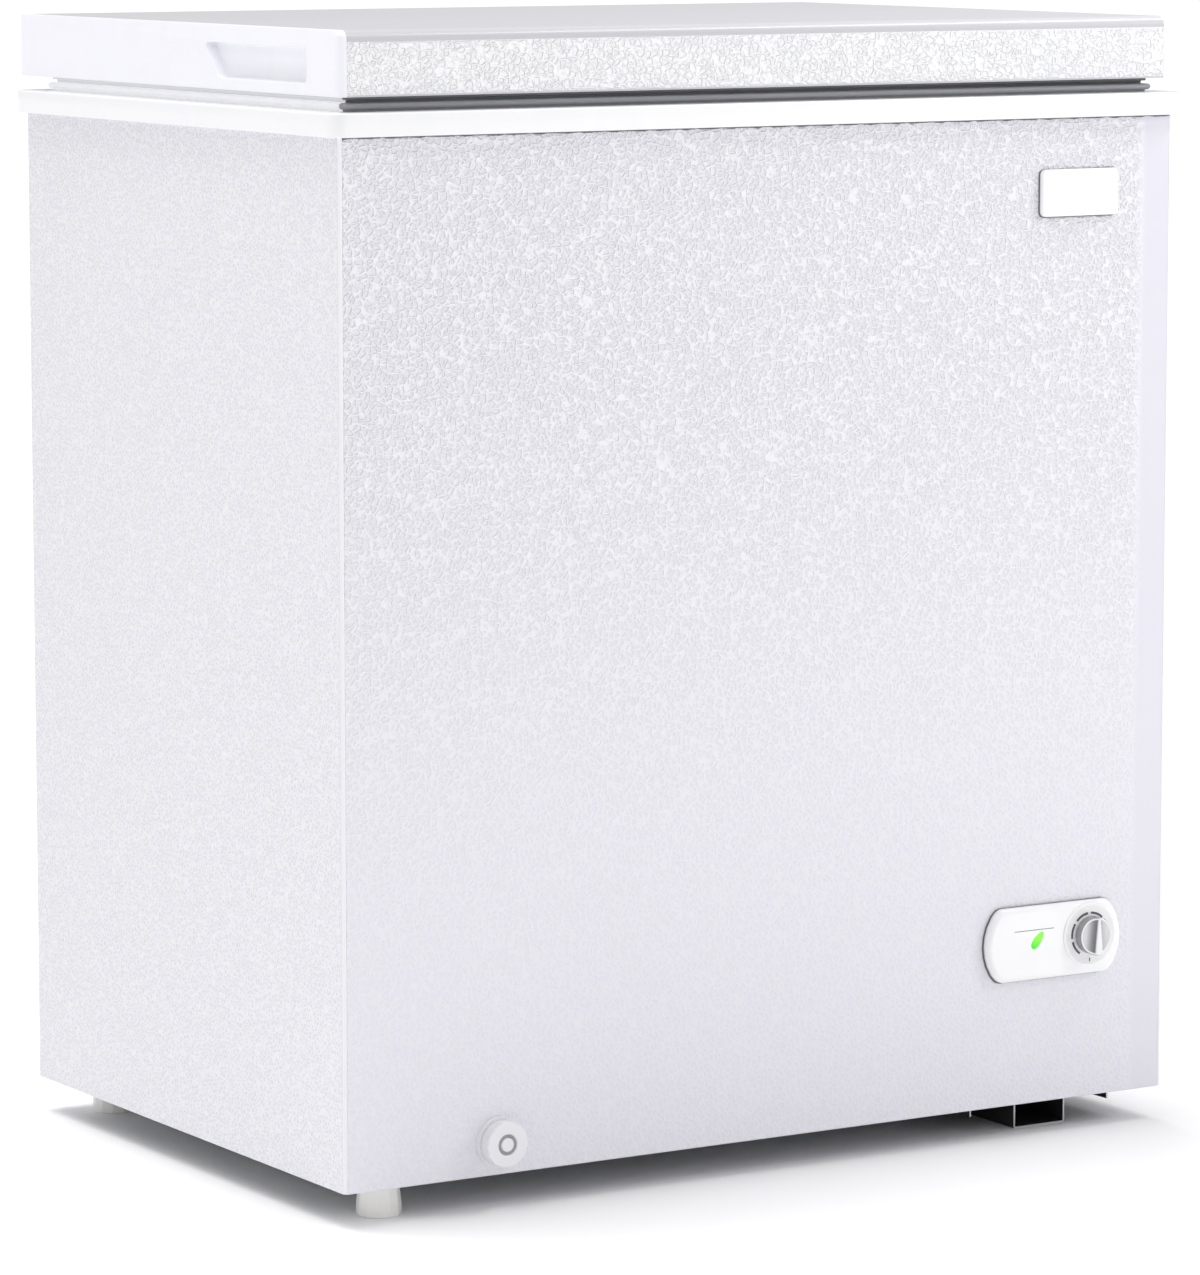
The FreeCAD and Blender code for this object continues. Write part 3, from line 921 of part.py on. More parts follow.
def wire_mat(name, spans, thin):
    """A flat mat of crossing square wires. spans holds (low, high) for x, y, z; thin is the thin axis."""
    wide = [i for i in range(3) if i != thin]
    wire = value("wire")
    bars = []
    for step, cross in ((wide[0], wide[1]), (wide[1], wide[0])):
        low, high = value(spans[step][0]), value(spans[step][1])
        for place in spread(low, high - wire, value("mesh_pitch")):
            corner = [0, 0, 0]
            size = [0, 0, 0]
            corner[step], size[step] = place, wire
            corner[cross], size[cross] = value(spans[cross][0]), value(f"({spans[cross][1]}) - ({spans[cross][0]})")
            corner[thin], size[thin] = value(spans[thin][0]), wire
            bars.append(Part.makeBox(*size, V(*corner)))
    mat = doc.addObject("Part::Feature", name)
    mat.Shape = bars[0].multiFuse(bars[1:]).removeSplitter()
    mat.Placement = FreeCAD.Placement()
    return mat


span_x = (BASKET_LEFT, BASKET_RIGHT)
span_y = (f"-{BASKET_Y}", BASKET_Y)
inner_y = (f"-{BASKET_Y} + wire", f"{BASKET_Y} - wire")
span_z = (f"{BASKET_LOW} + wire", BASKET_TOP)
basket = [wire_mat("BasketFloor", (span_x, span_y, (BASKET_LOW, BASKET_TOP)), 2),
          wire_mat("BasketLeft", ((BASKET_LEFT, BASKET_RIGHT), inner_y, span_z), 0),
          wire_mat("BasketRight", ((f"{BASKET_RIGHT} - wire", BASKET_RIGHT), inner_y, span_z), 0)]
for word, sign in (("Front", "-"), ("Rear", "+")):
    low = f"-{BASKET_Y}" if sign == "-" else f"{BASKET_Y} - wire"
    mat = wire_mat("Basket" + word, (span_x, (low, BASKET_Y), span_z), 1)
    rail_y = f"{sign}({CAV_REAR} + ledge / 2)"
    rail = box(f"{word}Rail", f"{BASKET_LEFT} + 8", f"{BASKET_RIGHT} - 8", f"{rail_y} - rail_wire / 2",
               f"{rail_y} + rail_wire / 2", RAIL_LOW, BASKET_TOP)
    arms = []
    for i, end in enumerate((f"{BASKET_LEFT} + 10", f"{BASKET_RIGHT} - 10 - rail_wire")):
        near, far = (f"{rail_y}", f"-{BASKET_Y}") if sign == "-" else (BASKET_Y, rail_y)
        arms.append(box(f"{word}Arm{i}", end, f"{end} + rail_wire", near, far, RAIL_LOW, BASKET_TOP))
    basket.append(fuse(f"Basket{word}Wall", mat, rail, *arms))
keep(group("Basket", *basket), "storage_basket")

# ---------------------------------------------------------------- build, test, write
doc.recompute()
for obj in doc.Objects:
    if {"Invalid", "Error"} & set(obj.State):
        raise RuntimeError(f"{obj.Name} did not build: {obj.State}")
os.makedirs("parts", exist_ok=True)
for obj in nodes:
    shape = obj.Shape
    if shape.isNull() or not shape.isValid() or not shape.Solids:
        raise RuntimeError(f"{obj.Label} has no sound shape")
for obj in nodes:
    obj.Shape.exportStep(f"parts/{obj.Label}.step")
print(len(nodes), "pieces written")
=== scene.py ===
"""Looks of a small chest freezer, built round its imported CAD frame.

Metres, +Z up, the front faces -Y, +X is the user's right; the origin is on the floor under the cabinet.
"""
import math

import bmesh
import bpy
from mathutils import Matrix, Vector


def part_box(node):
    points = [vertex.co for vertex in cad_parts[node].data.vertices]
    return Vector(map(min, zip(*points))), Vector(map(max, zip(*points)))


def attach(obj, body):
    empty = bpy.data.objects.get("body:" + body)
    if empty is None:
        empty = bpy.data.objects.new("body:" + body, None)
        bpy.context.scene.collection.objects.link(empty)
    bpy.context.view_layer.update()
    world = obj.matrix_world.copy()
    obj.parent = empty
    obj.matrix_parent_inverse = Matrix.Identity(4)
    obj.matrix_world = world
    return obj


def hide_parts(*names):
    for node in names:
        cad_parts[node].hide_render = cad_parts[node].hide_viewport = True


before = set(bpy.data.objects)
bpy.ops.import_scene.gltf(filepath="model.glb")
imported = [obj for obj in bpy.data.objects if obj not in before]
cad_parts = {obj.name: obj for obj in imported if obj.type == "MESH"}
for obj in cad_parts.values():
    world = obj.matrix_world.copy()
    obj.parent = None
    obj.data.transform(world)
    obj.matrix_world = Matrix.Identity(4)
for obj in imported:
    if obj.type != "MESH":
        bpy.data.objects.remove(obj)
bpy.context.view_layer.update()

MM = 0.001
TINY = 0.02 * MM


# ------------------------------------------------------------------ places from the frame
def span(node):
    """((x0, x1), (y0, y1), (z0, z1)) of a CAD node."""
    low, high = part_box(node)
    return [(low[i], high[i]) for i in range(3)]


(LEFT, _), _, (BASE, RIM_UNDER) = span("left_side_panel")
RIGHT = -LEFT
(SHEET_LEFT, SHEET_RIGHT), (FRONT, _), _ = span("front_panel")
REAR = -FRONT
(RIM_X0, RIM_X1), (RIM_Y0, RIM_Y1), (_, RIM_TOP) = span("top_rim_frame")
(_, CAP_INNER), (LID_FRONT, LID_REAR), (LID_UNDER, LID_TOP) = span("lid_left_end_cap")
STEEL = 0.8 * MM
TUB_FLANGE, TUB_WALL = 10 * MM, 1 * MM
(TUB_X0, TUB_X1), (TUB_Y0, _), (TUB_BASE, _) = span("inner_liner")
CAV_X0, CAV_X1 = TUB_X0 + TUB_FLANGE, TUB_X1 - TUB_FLANGE
CAV_Y0 = TUB_Y0 + TUB_FLANGE
CAV_Y1 = -CAV_Y0
CAV_FLOOR = TUB_BASE + TUB_WALL


def centre(node):
    """Middle of a node's box."""
    return [(low + high) / 2 for low, high in span(node)]


# ------------------------------------------------------------------ node trees written as Python
class Value:
    """An output socket that ordinary arithmetic works on."""

    def __init__(self, nodes, socket):
        self.nodes, self.socket = nodes, socket

    def maths(self, operation, first, second):
        return self.nodes.add("ShaderNodeMath", {"operation": operation}, {0: first, 1: second})

    def __add__(self, other):
        return self.maths("ADD", self, other)

    def __sub__(self, other):
        return self.maths("SUBTRACT", self, other)

    def __rsub__(self, other):
        return self.maths("SUBTRACT", other, self)

    def __mul__(self, other):
        return self.maths("MULTIPLY", self, other)

    def __truediv__(self, other):
        return self.maths("DIVIDE", self, other)

    def __pow__(self, other):
        return self.maths("POWER", self, other)

    __radd__, __rmul__ = __add__, __mul__

    def output(self, name):
        return Value(self.nodes, self.socket.node.outputs[name])


class Nodes:
    """A node tree. One method adds any node: its settings first, then the values or links of its sockets."""

    def __init__(self, tree):
        self.tree = tree

    def add(self, kind, settings=None, sockets=None, out=0):
        made = self.tree.nodes.new(kind)
        for name, setting in (settings or {}).items():
            if name == "stops":
                for stop, (place, colour) in zip(made.color_ramp.elements, setting):
                    stop.position, stop.color = place, colour
            else:
                setattr(made, name, setting)
        for key, given in (sockets or {}).items():
            if isinstance(given, Value):
                self.tree.links.new(given.socket, made.inputs[key])
            else:
                made.inputs[key].default_value = given
        return Value(self, made.outputs[out]) if made.outputs else None


class Finish(Nodes):
    """A material: constants go straight onto its Principled shader, and varying values are fed to it."""

    def __init__(self, name, **constants):
        self.material = bpy.data.materials.new(name)
        self.material.use_nodes = True
        super().__init__(self.material.node_tree)
        self.shader = self.tree.nodes["Principled BSDF"]
        for socket, constant in constants.items():
            label = socket.replace("_", " ").title().replace("Ior", "IOR")
            self.shader.inputs[label].default_value = constant
        self.place = self.add("ShaderNodeTexCoord", out="Object")
        self.xyz = self.add("ShaderNodeSeparateXYZ", sockets={0: self.place})

    def feed(self, socket, given):
        self.tree.links.new(given.socket, self.shader.inputs[socket])

    def axis(self, name):
        return self.xyz.output(name)

    def noise(self, scale, detail=2.0, distortion=0.0):
        return self.add("ShaderNodeTexNoise", sockets={
            "Vector": self.place, "Scale": scale, "Detail": detail, "Distortion": distortion})

    def ramp(self, given, low, high):
        """0 at low and under, 1 at high and over; low may be the larger one."""
        return self.add("ShaderNodeMapRange", {"interpolation_type": "SMOOTHSTEP"},
                        {"Value": given, "From Min": low, "From Max": high})

    def blend(self, first, second, share):
        """Colour first, going over to second as share rises to 1."""
        return self.add("ShaderNodeMix", {"data_type": "RGBA"}, {0: share, 6: first, 7: second}, out=2)

    def relief(self, height, depth):
        """Bump from a height of 0 to 1 that stands for that many metres."""
        bump = self.add("ShaderNodeBump", sockets={"Strength": 1.0, "Distance": depth, "Height": height})
        self.feed("Normal", bump)


# ------------------------------------------------------------------ finishes
COOL_WHITE = (0.785, 0.775, 0.835, 1)
CREST_HIGHLIGHT_WHITE = (0.94, 0.935, 0.965, 1)
PURE_WHITE = (0.955, 0.955, 0.965, 1)


def embossed_steel(name, cell, depth, area, ground=COOL_WHITE, plain=COOL_WHITE, roughness=0.30):
    """Pre-coated sheet with a leather-grain emboss whose crests are painted lighter than its ground, as
    painted highlight.

    area gives 1 where the emboss is deepest and its painted crest highlight strongest, and 0 where the sheet
    is plain."""
    finish = Finish(name, Coat_Weight=0.25, Coat_Roughness=0.18)
    wander = finish.add("ShaderNodeVectorMath", {"operation": "SCALE"},
                        {0: finish.noise(0.6 / cell).output("Color"), 3: 0.9 * cell})
    bent_place = finish.add("ShaderNodeVectorMath", {"operation": "ADD"}, {0: finish.place, 1: wander})
    groove = finish.add("ShaderNodeTexVoronoi", {"feature": "DISTANCE_TO_EDGE"},
                        {"Vector": bent_place, "Scale": 1 / cell})
    crest = 1 - finish.ramp(groove, 0.02, 0.26)
    where = area(finish)
    sway = finish.noise(3.2, 1.0)
    finish.relief((crest * 0.7 + finish.noise(1.3 / cell, 1.0, 0.5) * 0.3) * where + sway * 1.2, depth)
    # Painted highlight: the crests take a lighter colour than the ground.
    crest_highlighted = finish.blend(ground, CREST_HIGHLIGHT_WHITE, crest * where * 0.6)
    finish.feed("Base Color", finish.blend(plain, crest_highlighted, finish.ramp(where, 0.0, 0.2)))
    finish.feed("Roughness", finish.noise(40.0, 2.0) * 0.08 + (roughness + 0.02) - crest * where * 0.06)
    return finish.material


def moulded(name, colour, roughness=0.3, mottle=0.04, grain=0.02 * MM, coat=0.0):
    """Moulded plastic: faint flow marks in its colour, a fine skin and slightly uneven gloss."""
    finish = Finish(name, Coat_Weight=coat)
    flow = finish.noise(14.0, 3.0, 1.5)
    darker = tuple(c * (1 - 2 * mottle) for c in colour[:3]) + (1,)
    finish.feed("Base Color", finish.blend(colour, darker, finish.ramp(flow, 0.4, 0.75)))
    finish.feed("Roughness", finish.noise(90.0, 3.0) * 0.1 + (roughness - 0.05))
    finish.relief(finish.noise(900.0, 2.0), grain)
    return finish.material


def plated(name, colour, roughness, spangle=0.0, metallic=1.0):
    """Bare or plated metal. spangle is the size of the zinc's crystals, or 0 for a brushed look."""
    finish = Finish(name, Metallic=metallic)
    if spangle:
        cells = finish.add("ShaderNodeTexVoronoi", {"feature": "F1"},
                           {"Vector": finish.place, "Scale": 1 / spangle})
        tone = cells.output("Color")
        patches = finish.add("ShaderNodeRGBToBW", sockets={0: tone})
    else:
        along_x = (30.0, 900.0, 900.0)
        stretched = finish.add("ShaderNodeMapping", sockets={"Vector": finish.place, "Scale": along_x})
        patches = finish.add("ShaderNodeTexNoise", sockets={"Vector": stretched, "Scale": 1.0, "Detail": 3.0})
    darker = tuple(0.72 * c for c in colour[:3]) + (1,)
    finish.feed("Base Color", finish.blend(colour, darker, patches))
    finish.feed("Roughness", patches * 0.15 + roughness)
    finish.relief(patches, 0.01 * MM)
    return finish.material


def painted_black(name, roughness=0.45):
    """Black stove paint over steel, with orange peel and dust in its hollows."""
    finish = Finish(name)
    peel = finish.noise(380.0, 3.0)
    dust = finish.ramp(finish.noise(9.0, 4.0, 1.0), 0.45, 0.8)
    finish.feed("Base Color", finish.blend((0.012, 0.012, 0.013, 1), (0.05, 0.048, 0.045, 1), dust * 0.6))
    finish.feed("Roughness", peel * 0.12 + dust * 0.15 + (roughness - 0.05))
    finish.relief(peel, 0.05 * MM)
    return finish.material


def rubbery(name, colour, roughness=0.55):
    """Soft rubber or vinyl with a dull skin."""
    finish = Finish(name)
    worn = finish.noise(30.0, 4.0, 0.6)
    paler = tuple(min(1.0, 1.25 * c + 0.01) for c in colour[:3]) + (1,)
    finish.feed("Base Color", finish.blend(colour, paler, worn))
    finish.feed("Roughness", worn * 0.15 + (roughness - 0.07))
    finish.relief(finish.noise(1500.0, 2.0), 0.02 * MM)
    return finish.material


def seal_vinyl():
    """White magnetic seal with a painted glow, which lifts it out of the shade in the gap under the lid.

    Its front run is painted grey as shade under the lid and has no glow; its neck is painted darker as shade,
    and so is the neck along the left run."""
    finish = Finish("seal_vinyl", Emission_Strength=0.3)
    # Painted shade: the front run is grey with no glow, and its neck darker still.
    run = finish.ramp(finish.axis("Y"), FRONT + 21 * MM, FRONT + 19 * MM)
    inner = finish.ramp(finish.axis("X"), LEFT + 34 * MM, LEFT + 31 * MM)
    neck = finish.ramp(finish.axis("Z"), RIM_TOP + 6.0 * MM, RIM_TOP + 6.6 * MM)
    grey = finish.blend((0.40, 0.40, 0.42, 1), (0.13, 0.13, 0.14, 1), neck)
    # Painted glow on the white runs, to lift them out of the shade in the gap.
    finish.feed("Emission Color", finish.blend((0.9, 0.9, 0.92, 1), (0.0, 0.0, 0.0, 1), run))
    # Painted shade: a grey line along the neck of the left run.
    white = finish.blend((0.92, 0.92, 0.93, 1), (0.50, 0.50, 0.53, 1), neck * inner)
    streaks = finish.noise(60.0, 3.0, 0.5)
    run_shade_blend = finish.blend(white, grey, run)
    finish.feed("Base Color", finish.blend(run_shade_blend, (0.4, 0.4, 0.42, 1), streaks * 0.12))
    finish.feed("Roughness", streaks * 0.1 + 0.42)
    finish.relief(finish.noise(700.0, 2.0), 0.02 * MM)
    return finish.material


def foamed():
    """Rigid polyurethane foam: pale yellow, closed cells and darker streaks."""
    finish = Finish("rigid_foam")
    cells = finish.add("ShaderNodeTexVoronoi", sockets={"Vector": finish.place, "Scale": 1600.0})
    fresh, aged = (0.72, 0.62, 0.38, 1), (0.58, 0.47, 0.25, 1)
    finish.feed("Base Color", finish.blend(fresh, aged, finish.noise(18.0, 3.0)))
    finish.feed("Roughness", cells * 0.2 + 0.75)
    finish.relief(cells, 0.3 * MM)
    return finish.material


def coppery():
    """Drawn copper tube with brown tarnish."""
    finish = Finish("drawn_copper", Metallic=1.0)
    tarnish = finish.ramp(finish.noise(22.0, 4.0, 1.0), 0.4, 0.75)
    finish.feed("Base Color", finish.blend((0.83, 0.43, 0.28, 1), (0.32, 0.15, 0.09, 1), tarnish))
    finish.feed("Roughness", tarnish * 0.25 + 0.22)
    finish.relief(finish.noise(500.0, 2.0), 0.02 * MM)
    return finish.material


def lit_lens(x, z):
    """Green lens lit from behind: brightest at its lower middle, deeper towards its edge."""
    finish = Finish("green_lens", Emission_Strength=0.3, Roughness=0.15)
    along = finish.ramp(finish.axis("Z"), z - 6 * MM, z + 4 * MM)
    side = finish.ramp(finish.axis("X"), x - 1 * MM, x + 5 * MM)
    glow = finish.blend((0.05, 0.75, 0.02, 1), (0.30, 0.95, 0.08, 1), along * (1 - side * 0.5))
    finish.feed("Base Color", glow)
    finish.feed("Emission Color", glow)
    finish.relief(finish.noise(600.0, 2.0), 0.02 * MM)
    return finish.material


def knob_skin(x, z, radius, pointer):
    """Silvery knob: white ridge and rim, flanks with painted shade that darkens towards the ridge and is
    deeper on the left flank, and a grey skirt.

    pointer gives the ridge's half width at the knob's middle and how much it grows per metre upwards."""
    finish = Finish("knob_skin", Coat_Weight=0.5)
    u, v = finish.axis("X") - x, finish.axis("Z") - z
    half_width, growth = pointer
    past = (u * u) ** 0.5 - (v * growth + half_width)
    reach = (u * u + v * v) ** 0.5
    # Painted shade: the left flank darker than the right, and both darkest at the steep walls next to the
    # ridge.
    right = finish.ramp(u, -1 * MM, 1 * MM)
    dark = finish.blend((0.17, 0.17, 0.18, 1), (0.38, 0.38, 0.39, 1), right)
    flank = finish.blend(dark, (0.66, 0.66, 0.68, 1), finish.ramp(past, 0.4 * MM, 9 * MM))
    rim = finish.ramp(reach, radius - 1.7 * MM, radius - 1.3 * MM)
    face = finish.blend((0.88, 0.88, 0.90, 1), flank, finish.ramp(past, 0.0, 0.5 * MM) * (1 - rim))
    skirt = finish.ramp(reach, radius - 0.5 * MM, radius - 0.2 * MM)
    finish.feed("Base Color", finish.blend(face, (0.30, 0.30, 0.31, 1), skirt))
    finish.feed("Roughness", finish.noise(90.0, 3.0) * 0.1 + 0.18)
    finish.relief(finish.noise(900.0, 2.0), 0.004 * MM)
    return finish.material


def studio_floor():
    """Seamless matt white floor."""
    finish = Finish("studio_floor", Specular_IOR_Level=0.1)
    bright, dull = (0.97, 0.97, 0.97, 1), (0.95, 0.95, 0.955, 1)
    finish.feed("Base Color", finish.blend(bright, dull, finish.noise(1.3, 2.0)))
    finish.feed("Roughness", finish.noise(8.0, 2.0) * 0.1 + 0.8)
    return finish.material


def front_area(finish):
    """The front's emboss and its painted crest highlight are made strongest near the top, where the light
    glances across the sheet, and weaker near its foot; both fade out along its right-hand edge.
    """
    foot, full, shallow = 150 * MM, 680 * MM, 0.25
    deep = finish.ramp(finish.axis("Z"), foot, full) * (1 - shallow) + shallow
    return finish.ramp(finish.axis("X"), RIGHT - 24 * MM, RIGHT - 36 * MM) * deep


def side_area(finish):
    """The side sheet is plain where it folds round the corners; on the side sheets that plain strip is
    painted near-white as highlight on the folds.
    """
    fade = 1 * MM
    ahead = finish.ramp(finish.axis("Y"), FRONT + fade, FRONT + 3 * fade)
    behind = finish.ramp(finish.axis("Y"), REAR - fade, REAR - 3 * fade)
    return ahead * behind


def lid_area(finish):
    """Only the flat of the lid's front is embossed. It also takes the lid's lighter painted tone, while the
    top and rounds take a painted shade grey.
    """
    flat = finish.ramp(finish.axis("Y"), LID_FRONT + 1.2 * MM, LID_FRONT + 0.3 * MM)
    over = finish.ramp(finish.axis("Z"), LID_UNDER + 1 * MM, LID_UNDER + 3 * MM)
    under = finish.ramp(finish.axis("Z"), LID_TOP - 8 * MM, LID_TOP - 10 * MM)
    return flat * over * under


front_steel = embossed_steel("embossed_front_steel", 4.8 * MM, 1.2 * MM, front_area,
                             plain=(0.765, 0.757, 0.825, 1))
# Painted light and shade: the side's ground is darker than the front's, as shade on the side, and its plain
# folds are painted near-white as highlight.
side_steel = embossed_steel("embossed_side_steel", 3.2 * MM, 0.3 * MM, side_area,
                            ground=(0.735, 0.73, 0.785, 1), plain=(0.90, 0.90, 0.925, 1), roughness=0.36)
# Painted light and shade: the flat of the lid's front is painted lighter than the front sheet, and the lid's
# top and rounds a shade grey.
lid_steel = embossed_steel("embossed_lid_steel", 4.8 * MM, 1.4 * MM, lid_area, ground=(0.90, 0.90, 0.915, 1),
                           plain=(0.58, 0.575, 0.605, 1), roughness=0.28)
back_steel = embossed_steel("back_sheet_steel", 2.6 * MM, 0.1 * MM, side_area, roughness=0.42)
gloss_white = moulded("gloss_white_plastic", PURE_WHITE, 0.16, mottle=0.01, grain=0.004 * MM, coat=0.4)
cap_white = moulded("lid_cap_plastic", (0.925, 0.925, 0.975, 1), 0.3, mottle=0.012, grain=0.01 * MM)
rim_white = moulded("rim_white", (0.93, 0.93, 0.945, 1), 0.24, mottle=0.008, grain=0.006 * MM, coat=0.3)
satin_white = moulded("satin_white_plastic", (0.84, 0.84, 0.87, 1), 0.38, mottle=0.02)
foot_white = moulded("foot_plastic", (0.96, 0.955, 0.91, 1), 0.3, mottle=0.02)
liner_white = moulded("liner_plastic", (0.80, 0.82, 0.84, 1), 0.26, mottle=0.02, grain=0.03 * MM)
black_plastic = moulded("black_plastic", (0.016, 0.016, 0.017, 1), 0.42, mottle=0.1)
# Painted shade for the bottom of the drain dial's groove.
groove_grey = moulded("groove_grey", (0.36, 0.36, 0.38, 1), 0.5)
print_grey = moulded("print_grey", (0.10, 0.10, 0.115, 1), 0.5)
coated_wire = moulded("coated_wire", (0.86, 0.87, 0.88, 1), 0.3, mottle=0.02)
black_paint = painted_black("black_stove_paint")
galvanised = plated("galvanised_sheet", (0.62, 0.64, 0.66, 1), 0.34, spangle=14 * MM)
zinc_plate = plated("zinc_plate", (0.70, 0.70, 0.68, 1), 0.28)
cut_edge = plated("bare_cut_edge", (0.80, 0.80, 0.78, 1), 0.35, metallic=0.6)
copper = coppery()
# Dark grey for painted shadows: the line under the rim and the pads behind the badge and control panel.
grey_rubber = rubbery("grey_rubber", (0.12, 0.12, 0.125, 1))
black_rubber = rubbery("black_rubber", (0.02, 0.02, 0.021, 1))
seal = seal_vinyl()
foam = foamed()


# ------------------------------------------------------------------ outlines and solids
def inset(corners, distance):
    """The outline moved inwards; its corners run anticlockwise."""
    moved = []
    for i, corner in enumerate(corners):
        here = Vector(corner)
        before = (here - Vector(corners[i - 1])).normalized()
        after = (Vector(corners[(i + 1) % len(corners)]) - here).normalized()
        left, next_left = Vector((-before.y, before.x)), Vector((-after.y, after.x))
        moved.append(here + (left + next_left) * (distance / (1 + left.dot(next_left))))
    return moved


def round_off(corners, radii, steps=5):
    """The outline with every corner turned into an arc of steps + 1 points."""
    points = []
    for i, corner in enumerate(corners):
        here = Vector(corner)
        back = (Vector(corners[i - 1]) - here).normalized()
        on = (Vector(corners[(i + 1) % len(corners)]) - here).normalized()
        half = back.angle(on) / 2
        radius = max(radii[i], TINY)
        middle = here + (back + on).normalized() * (radius / math.sin(half))
        start = here + back * (radius / math.tan(half)) - middle
        swing = math.copysign(math.pi - 2 * half, back.x * on.y - back.y * on.x)
        for k in range(steps + 1):
            turn = Matrix.Rotation(-swing * k / steps, 2)
            points.append(middle + turn @ start)
    return points


def skin_over(rings, caps=True, closed=False, cap_slot=0):
    """A surface through rings of equally many points, capped at its ends or closed on itself."""
    shape = bmesh.new()
    rows = [[shape.verts.new(point) for point in ring] for ring in rings]
    pairs = list(zip(rows, rows[1:]))
    if closed:
        pairs.append((rows[-1], rows[0]))
    for near, far in pairs:
        for i in range(len(near)):
            shape.faces.new((near[i - 1], near[i], far[i], far[i - 1]))
    if caps and not closed:
        for row in (rows[0], rows[-1]):
            shape.faces.new(row).material_index = cap_slot
    bmesh.ops.recalc_face_normals(shape, faces=shape.faces)
    return shape


def soft_edge(radius, height, steps=5):
    """Levels (inwards, up) of a wall that turns over into the top with a radius."""
    turn = [math.pi / 2 * k / steps for k in range(steps + 1)]
    return [(0.0, 0.0)] + [(radius * (1 - math.cos(a)), height - radius + radius * math.sin(a)) for a in turn]


def rectangle(x0, x1, y0, y1):
    return [(x0, y0), (x1, y0), (x1, y1), (x0, y1)]


def moulding(corners, radius, levels, place, closed=False, least=TINY, steps=5):
    """One outline repeated at each level (inwards, up) and put in space by place(u, v, up)."""
    rings = []
    for inwards, up in levels:
        rounded = round_off(inset(corners, inwards), [max(radius - inwards, least)] * len(corners), steps)
        rings.append([place(u, v, up) for u, v in rounded])
    return skin_over(rings, closed=closed)


def bent(path, thickness, bend):
    """Section of folded sheet and its corner radii: path is the outer side, the sheet lies to its left."""
    spots = [Vector(p) for p in path]
    runs = [(b - a).normalized() for a, b in zip(spots, spots[1:])]
    inner, outer_radii, inner_radii = [], [], []
    for i, spot in enumerate(spots):
        before, after = runs[max(i - 1, 0)], runs[min(i, len(runs) - 1)]
        left, next_left = Vector((-before.y, before.x)), Vector((-after.y, after.x))
        inner.append(spot + (left + next_left) * (thickness / (1 + left.dot(next_left))))
        turn = before.x * after.y - before.y * after.x
        outer_radii.append(TINY if abs(turn) < 1e-6 else bend if turn > 0 else max(bend - thickness, TINY))
        inner_radii.append(TINY if abs(turn) < 1e-6 else bend if turn < 0 else max(bend - thickness, TINY))
    return spots + inner[::-1], outer_radii + inner_radii[::-1]


def drawn(section, radii, stations, place, cap_slot=0):
    """A section drawn out along its stations."""
    rounded = round_off(section, radii)
    return skin_over([[place(u, v, s) for u, v in rounded] for s in stations], cap_slot=cap_slot)


def turned(stations, place, sides=12, count=96):
    """A round piece through stations (radius, up, facets): facets 1 makes a polygon of that many sides."""
    rings = []
    for radius, up, facets in stations:
        ring = []
        for k in range(count):
            angle = math.tau * k / count
            across = angle % (math.tau / sides) - math.pi / sides
            reach = radius * (1 + facets * (math.cos(math.pi / sides) / math.cos(across) - 1))
            ring.append(place(reach * math.cos(angle), reach * math.sin(angle), up))
        rings.append(ring)
    return skin_over(rings)


def on_front(x, z, y=FRONT):
    """Puts an outline on the cabinet's front, centred at x, z and standing out of y."""
    return lambda u, v, up: (x + u, y - up, z + v)


def from_above(u, v, up):
    return u, v, up


def piece(name, shapes, finishes, body, nodes=(), sharp=35, bevel=0.0):
    """Joins shapes into one finished object that rides on a body and stands for CAD nodes."""
    whole = bmesh.new()
    for shape in shapes:
        if isinstance(shape, bpy.types.Mesh):
            whole.from_mesh(shape)
            bpy.data.meshes.remove(shape)
            continue
        part = bpy.data.meshes.new("part")
        shape.to_mesh(part)
        shape.free()
        whole.from_mesh(part)
        bpy.data.meshes.remove(part)
    mesh = bpy.data.meshes.new(name)
    whole.to_mesh(mesh)
    whole.free()
    for finish in finishes if isinstance(finishes, (list, tuple)) else [finishes]:
        mesh.materials.append(finish)
    mesh.shade_smooth()
    mesh.set_sharp_from_angle(angle=math.radians(sharp))
    made = bpy.data.objects.new(name, mesh)
    bpy.context.scene.collection.objects.link(made)
    if bevel:
        edge = made.modifiers.new("edge", "BEVEL")
        edge.width, edge.segments, edge.limit_method = bevel, 2, "ANGLE"
        edge.angle_limit = math.radians(sharp)
    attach(made, body)
    if nodes:
        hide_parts(*nodes)
    return made


# ------------------------------------------------------------------ geometry-node recipes
def recipe(name, inputs):
    """An empty geometry tree with named inputs; returns its nodes and the values of those inputs."""
    tree = bpy.data.node_groups.new(name, "GeometryNodeTree")
    tree.interface.new_socket("Geometry", in_out="OUTPUT", socket_type="NodeSocketGeometry")
    tree.interface.new_socket("Geometry", in_out="INPUT", socket_type="NodeSocketGeometry")
    for label, kind in inputs.items():
        tree.interface.new_socket(label, in_out="INPUT", socket_type="NodeSocket" + kind)
    nodes = Nodes(tree)
    given = nodes.add("NodeGroupInput")
    return nodes, {label: given.output(label) for label in ("Geometry", *inputs)}


def close_recipe(nodes, geometry, finish):
    """Ends a tree: real geometry with its material."""
    real = nodes.add("GeometryNodeRealizeInstances", sockets={0: geometry})
    painted = nodes.add("GeometryNodeSetMaterial", sockets={"Geometry": real, "Material": finish})
    nodes.add("NodeGroupOutput", sockets={0: painted})
    return nodes.tree


